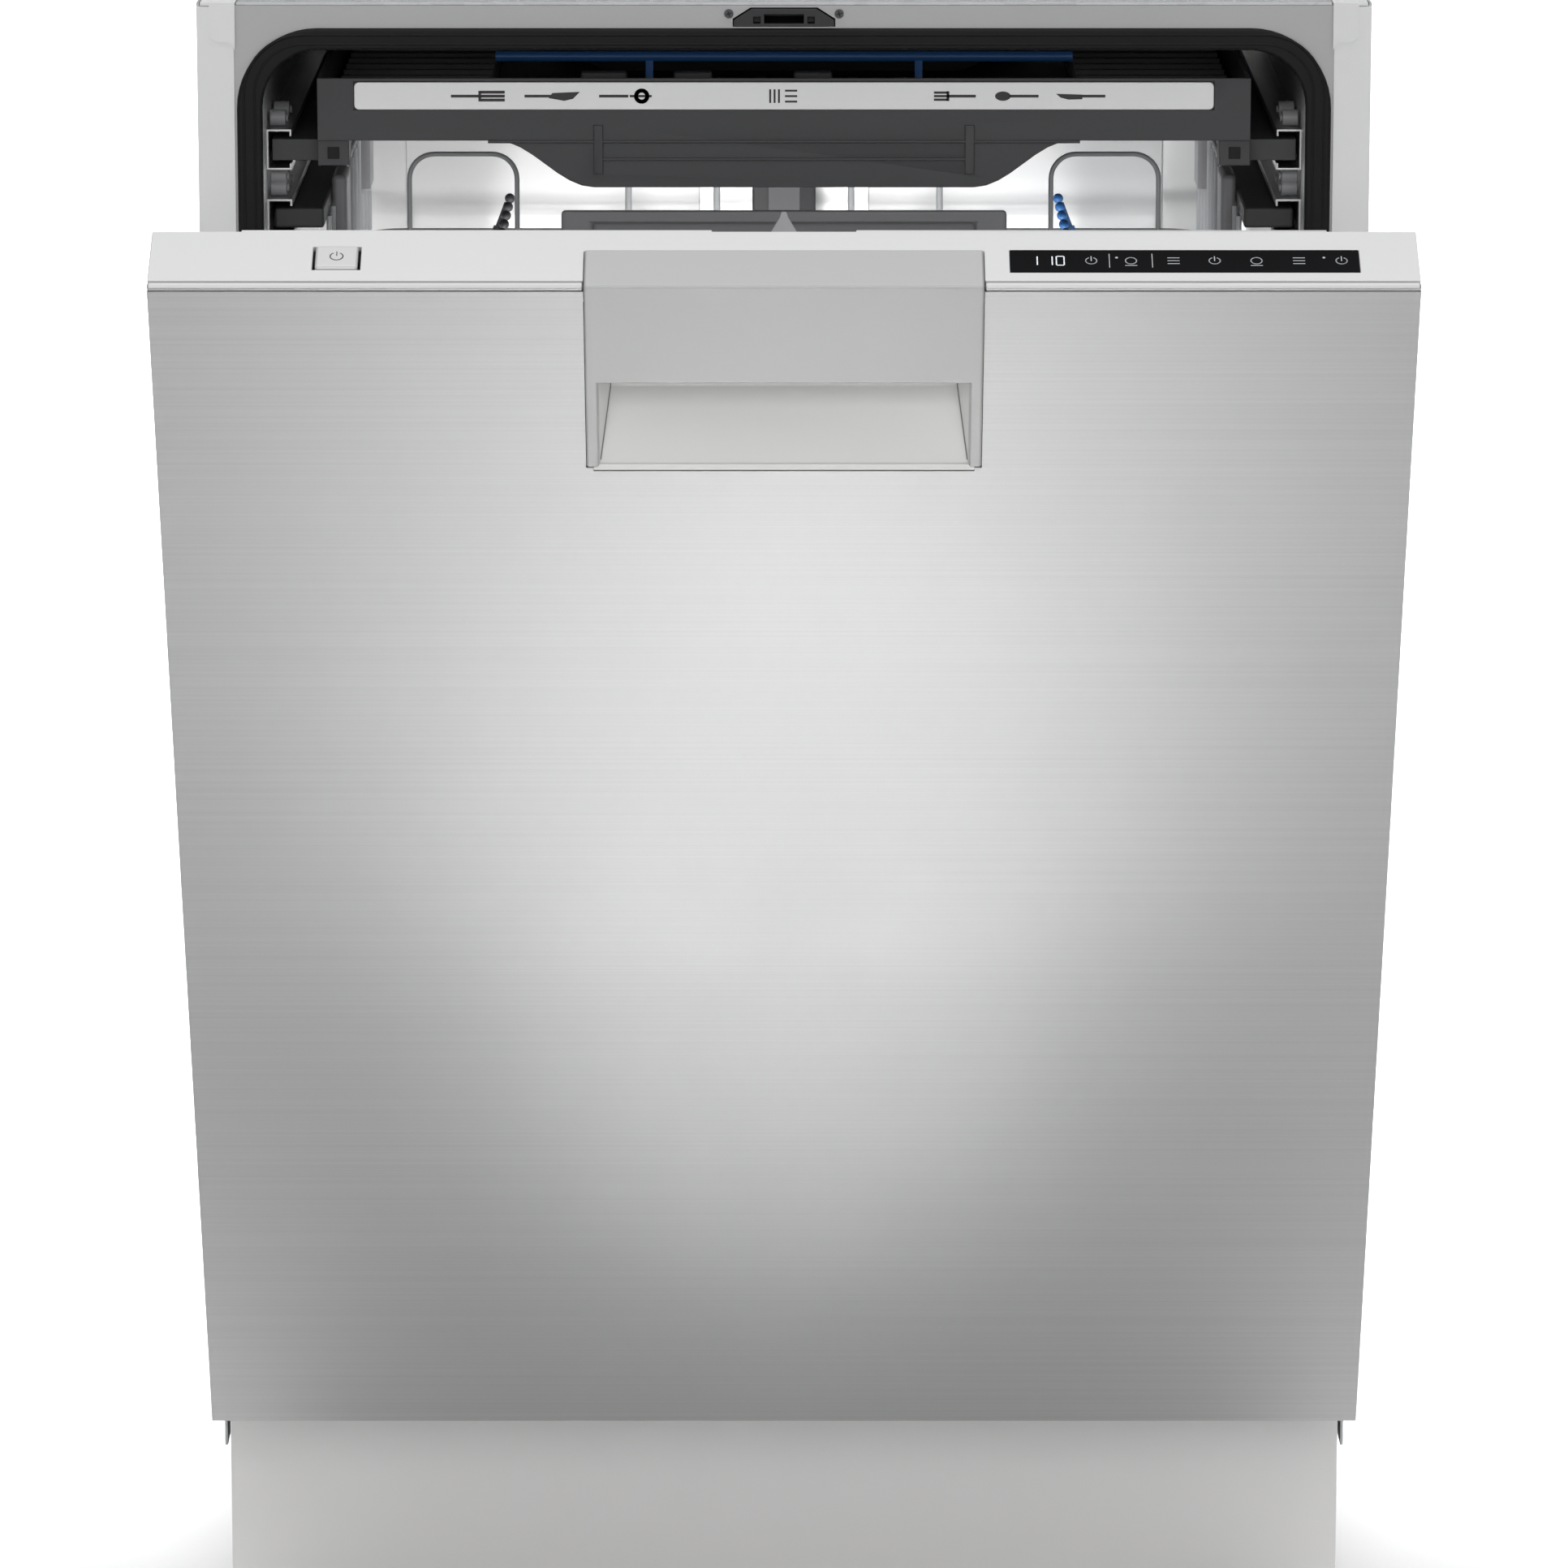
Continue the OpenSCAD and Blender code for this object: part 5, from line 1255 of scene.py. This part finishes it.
rib = 0.0018
rib_half = 0.0012
base_side = panel_high.x - 0.006
base_back = base_high.y
base_front = base_low.y
bm = bmesh.new()
for i in range(13):
    x = -base_side + 0.022 + (2 * base_side - 0.044) * i / 12
    for foot, top in ((base_low.z + 0.006, base_low.z + 0.018), (base_high.z - 0.026, base_high.z - 0.006)):
        block(bm, (x - rib_half, base_back - 0.0005, foot), (x + rib_half, base_back + rib, top))
for side in (-1, 1):
    face = side * base_side
    for i in range(12):
        y = base_front + 0.03 + (base_back - base_front - 0.06) * i / 11
        block(bm, (min(face, face + side * rib), y - rib_half, base_low.z + 0.006),
              (max(face, face + side * rib), y + rib_half, base_low.z + 0.034))
added("base_ribs", bm, "cabinet", "dark_plastic", base_black, 0.0004)


# ---- Plinth
# A satin panel set back under the door hides the feet. Two flanges behind it clip onto the base.
plinth_paint = satin("plinth_satin", (0.85, 0.84, 0.83), 0.42, 0.1)
from_cad("plinth_sheet", "plinth_panel", "cabinet", "silver_paint", plinth_paint, 0.0005)


# ---- Levelling feet
# A threaded steel rod with a plastic pad carries each corner. A hexagon above the pad takes the spanner.
def helix(start, end, across, up, turns, per_turn):
    """Points that wind round the line from start to end. Across and up are the helix's radii."""
    start, end, across, up = Vector(start), Vector(end), Vector(across), Vector(up)
    count = turns * per_turn
    turn = tau / per_turn
    return [start + (end - start) * (i / count) + across * cos(turn * i) + up * sin(turn * i)
            for i in range(count + 1)]


feet_black = moulded("foot_black", (0.03, 0.03, 0.032), 0.5)
from_cad("foot_pads", "levelling_feet", "cabinet", "dark_plastic", feet_black, 0.0012)
feet_low, feet_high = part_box("levelling_feet")
foot_x = feet_high.x - 0.020
thread_radius = 0.0050
bm = bmesh.new()
threads = []
for x in (-foot_x, foot_x):
    for y in (feet_low.y + 0.020, feet_high.y - 0.020):
        rod(bm, (x, y, 0.0138), (x, y, 0.0195), 0.0085, sides=6)
        threads.append(helix((x, y, 0.020), (x, y, base_low.z - 0.0015), (thread_radius, 0, 0),
                             (0, thread_radius, 0), 14, 12))
added("foot_hexagons", bm, "cabinet", "spring_steel", steel_dark.material, 0.0005)
thread = wires("foot_threads", threads, 0.0006, steel_dark.material)
fits(thread, "cabinet", "spring_steel")


# ---- Hinge brackets and springs
# A zinc-coated bracket at each end of the base holds the hinge pin. A long coil spring behind it
# carries the door's weight.
from_cad("hinge_plates", "hinge_brackets", "cabinet", "galvanised", zinc_sheet, 0.0006)

spring_low, spring_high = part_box("balance_springs")
spring_r = (spring_high.z - spring_low.z) / 2
spring_z = (spring_high.z + spring_low.z) / 2
spring_x = spring_high.x - spring_r
coil_start, coil_end = base_front + 0.110, base_front + 0.275
coil_wire = 0.0011
coil_radius = spring_r - coil_wire
routes = []
for side in (-1, 1):
    x = side * spring_x
    coil = helix((x, coil_start, spring_z), (x, coil_end, spring_z), (coil_radius, 0, 0),
                 (0, 0, coil_radius), 34, 14)
    routes.append([(x, spring_low.y + 0.001, spring_z), (x, coil_start - 0.006, spring_z), *coil,
                   (x, coil_end + 0.005, spring_z), (x, spring_high.y - 0.001, spring_z)])
coils = wires("door_springs", routes, coil_wire, steel_dark.material)
fits(coils, "cabinet", "spring_steel", "balance_springs")


# ---- Sump and pumps
# A black moulded bowl under the tub's floor gathers the water. The circulation pump stands at its side
# with cooling fins round its motor, and the small drain pump at its front.
sump_black = moulded("sump_black", (0.04, 0.04, 0.042), 0.5)
from_cad("sump_bowl", "sump", "cabinet", "dark_plastic", sump_black, 0.0012)

sump_low, sump_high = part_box("sump")
sump_middle = (sump_low + sump_high) / 2
sump_radius = (sump_high.x - sump_low.x) / 2
bm = bmesh.new()
for i in range(16):
    turn = tau * (i + 0.5) / 16
    spot = Vector((sump_middle.x + sump_radius * cos(turn), sump_middle.y + sump_radius * sin(turn), 0))
    rod(bm, spot + Vector((0, 0, sump_low.z + 0.014)), spot + Vector((0, 0, sump_high.z - 0.003)), 0.0012,
        sides=8)
added("sump_ribs", bm, "cabinet", "dark_plastic", sump_black)

pump_grey = moulded("pump_grey", (0.16, 0.165, 0.17), 0.42)
pump_low, pump_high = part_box("circulation_pump")
pump_z, pump_y = (pump_low.z + pump_high.z) / 2, (pump_low.y + pump_high.y) / 2
from_cad("circulation_pump_body", "circulation_pump", "cabinet", "grey_plastic", pump_grey, 0.0016)
bm = bmesh.new()
for i in range(9):
    x = pump_low.x + 0.034 + i * 0.0065
    rod(bm, (x, pump_y, pump_z), (x + 0.0022, pump_y, pump_z), 0.0328, sides=48)
block(bm, (pump_low.x + 0.04, pump_y - 0.014, pump_z + 0.026),
      (pump_low.x + 0.08, pump_y + 0.014, pump_z + 0.0375))
added("circulation_pump_fins", bm, "cabinet", "dark_plastic", stop_black, 0.0005)

drain_low, drain_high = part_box("drain_pump")
drain_z = (drain_low.z + drain_high.z) / 2
from_cad("drain_pump_body", "drain_pump", "cabinet", "grey_plastic", pump_grey, 0.0012)
bm = bmesh.new()
for i in range(5):
    y = drain_low.y + 0.006 + i * 0.0055
    rod(bm, (0, y, drain_z), (0, y + 0.002, drain_z), 0.0195, sides=40)
added("drain_pump_fins", bm, "cabinet", "dark_plastic", stop_black, 0.0004)


# ---- Water softener and chamber
# Two milky plastic containers: the softener under the floor holds salt and resin, and the flat chamber
# beside the tub meters the water through moulded passages.
milky = moulded("milky_plastic", (0.70, 0.70, 0.66), 0.4, 900, 0.00003, Subsurface_Weight=0.15)
from_cad("softener_body", "water_softener", "cabinet", "light_plastic", milky, 0.003, 4)

softener_low, softener_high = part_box("water_softener")
bm = bmesh.new()
for i in range(6):
    x = softener_low.x + 0.012 + i * 0.0165
    block(bm, (x, softener_low.y - 0.0015, softener_low.z + 0.006),
          (x + 0.003, softener_high.y + 0.0015, softener_high.z - 0.014))
added("softener_ribs", bm, "cabinet", "light_plastic", milky, 0.0008)

from_cad("chamber_body", "water_chamber", "cabinet", "light_plastic", milky, 0.0022, 4)


# ---- Rear ports
# The water inlet has a coarse thread for the hose nut, the drain spigot has barbs for its hose, and the
# cable leaves by a clamping gland. The hoses and the cable aren't fitted yet.
inlet_low, inlet_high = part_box("inlet_valve")
from_cad("inlet_valve_body", "inlet_valve", "cabinet", "light_plastic", milky, 0.0008)
inlet_x = (inlet_low.x + inlet_high.x) / 2
thread_r = 0.0130
thread_pitch = 0.0018
turns = 8
port_z = base_low.z + 0.052
thread_y = inlet_high.y - 0.002
route = helix((inlet_x, thread_y, port_z), (inlet_x, thread_y - thread_pitch * turns, port_z),
              (thread_r, 0, 0), (0, 0, thread_r), turns, 24)
inlet_thread = wires("inlet_thread", [route], 0.0006, milky)
fits(inlet_thread, "cabinet", "light_plastic")

drain_port_low, drain_port_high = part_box("drain_outlet")
from_cad("drain_spigot_body", "drain_outlet", "cabinet", "grey_plastic", pump_grey, 0.0006)
spigot_x = (drain_port_low.x + drain_port_high.x) / 2
bm = bmesh.new()
for i in range(3):
    y = drain_port_high.y - 0.004 - i * 0.0065
    rod(bm, (spigot_x, y - 0.0045, port_z), (spigot_x, y, port_z), 0.0104, 0.0094, sides=32)
added("drain_barbs", bm, "cabinet", "grey_plastic", pump_grey)

gland_low, gland_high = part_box("mains_gland")
from_cad("gland_body", "mains_gland", "cabinet", "dark_plastic", stop_black, 0.0006)
gland_x = (gland_low.x + gland_high.x) / 2
gland_z = base_low.z + 0.038
bm = bmesh.new()
rod(bm, (gland_x, gland_high.y - 0.016, gland_z), (gland_x, gland_high.y - 0.006, gland_z), 0.0105, sides=6)
added("gland_nut", bm, "cabinet", "dark_plastic", stop_black, 0.0006)


# ---- Floor
# A plain pale sheet of studio paper lies under the machine and curves up into a wall far behind it.
bm = bmesh.new()
bmesh.ops.create_grid(bm, x_segments=1, y_segments=60, size=9)
bend_start, bend_radius = 4.0, 1.6
for v in bm.verts:
    past = v.co.y - bend_start
    turn = min(max(past, 0) / bend_radius, pi / 2)
    if past > 0:
        climb = max(past - bend_radius * pi / 2, 0)
        v.co.y = bend_start + bend_radius * sin(turn)
        v.co.z = bend_radius * (1 - cos(turn)) + climb
studio = Finish("studio_paper", (0.80, 0.80, 0.80), 0.7)
studio.feed("Roughness", studio.noise(20) * 0.1 + 0.65)
floor = finished("studio_floor", bm, studio.material)
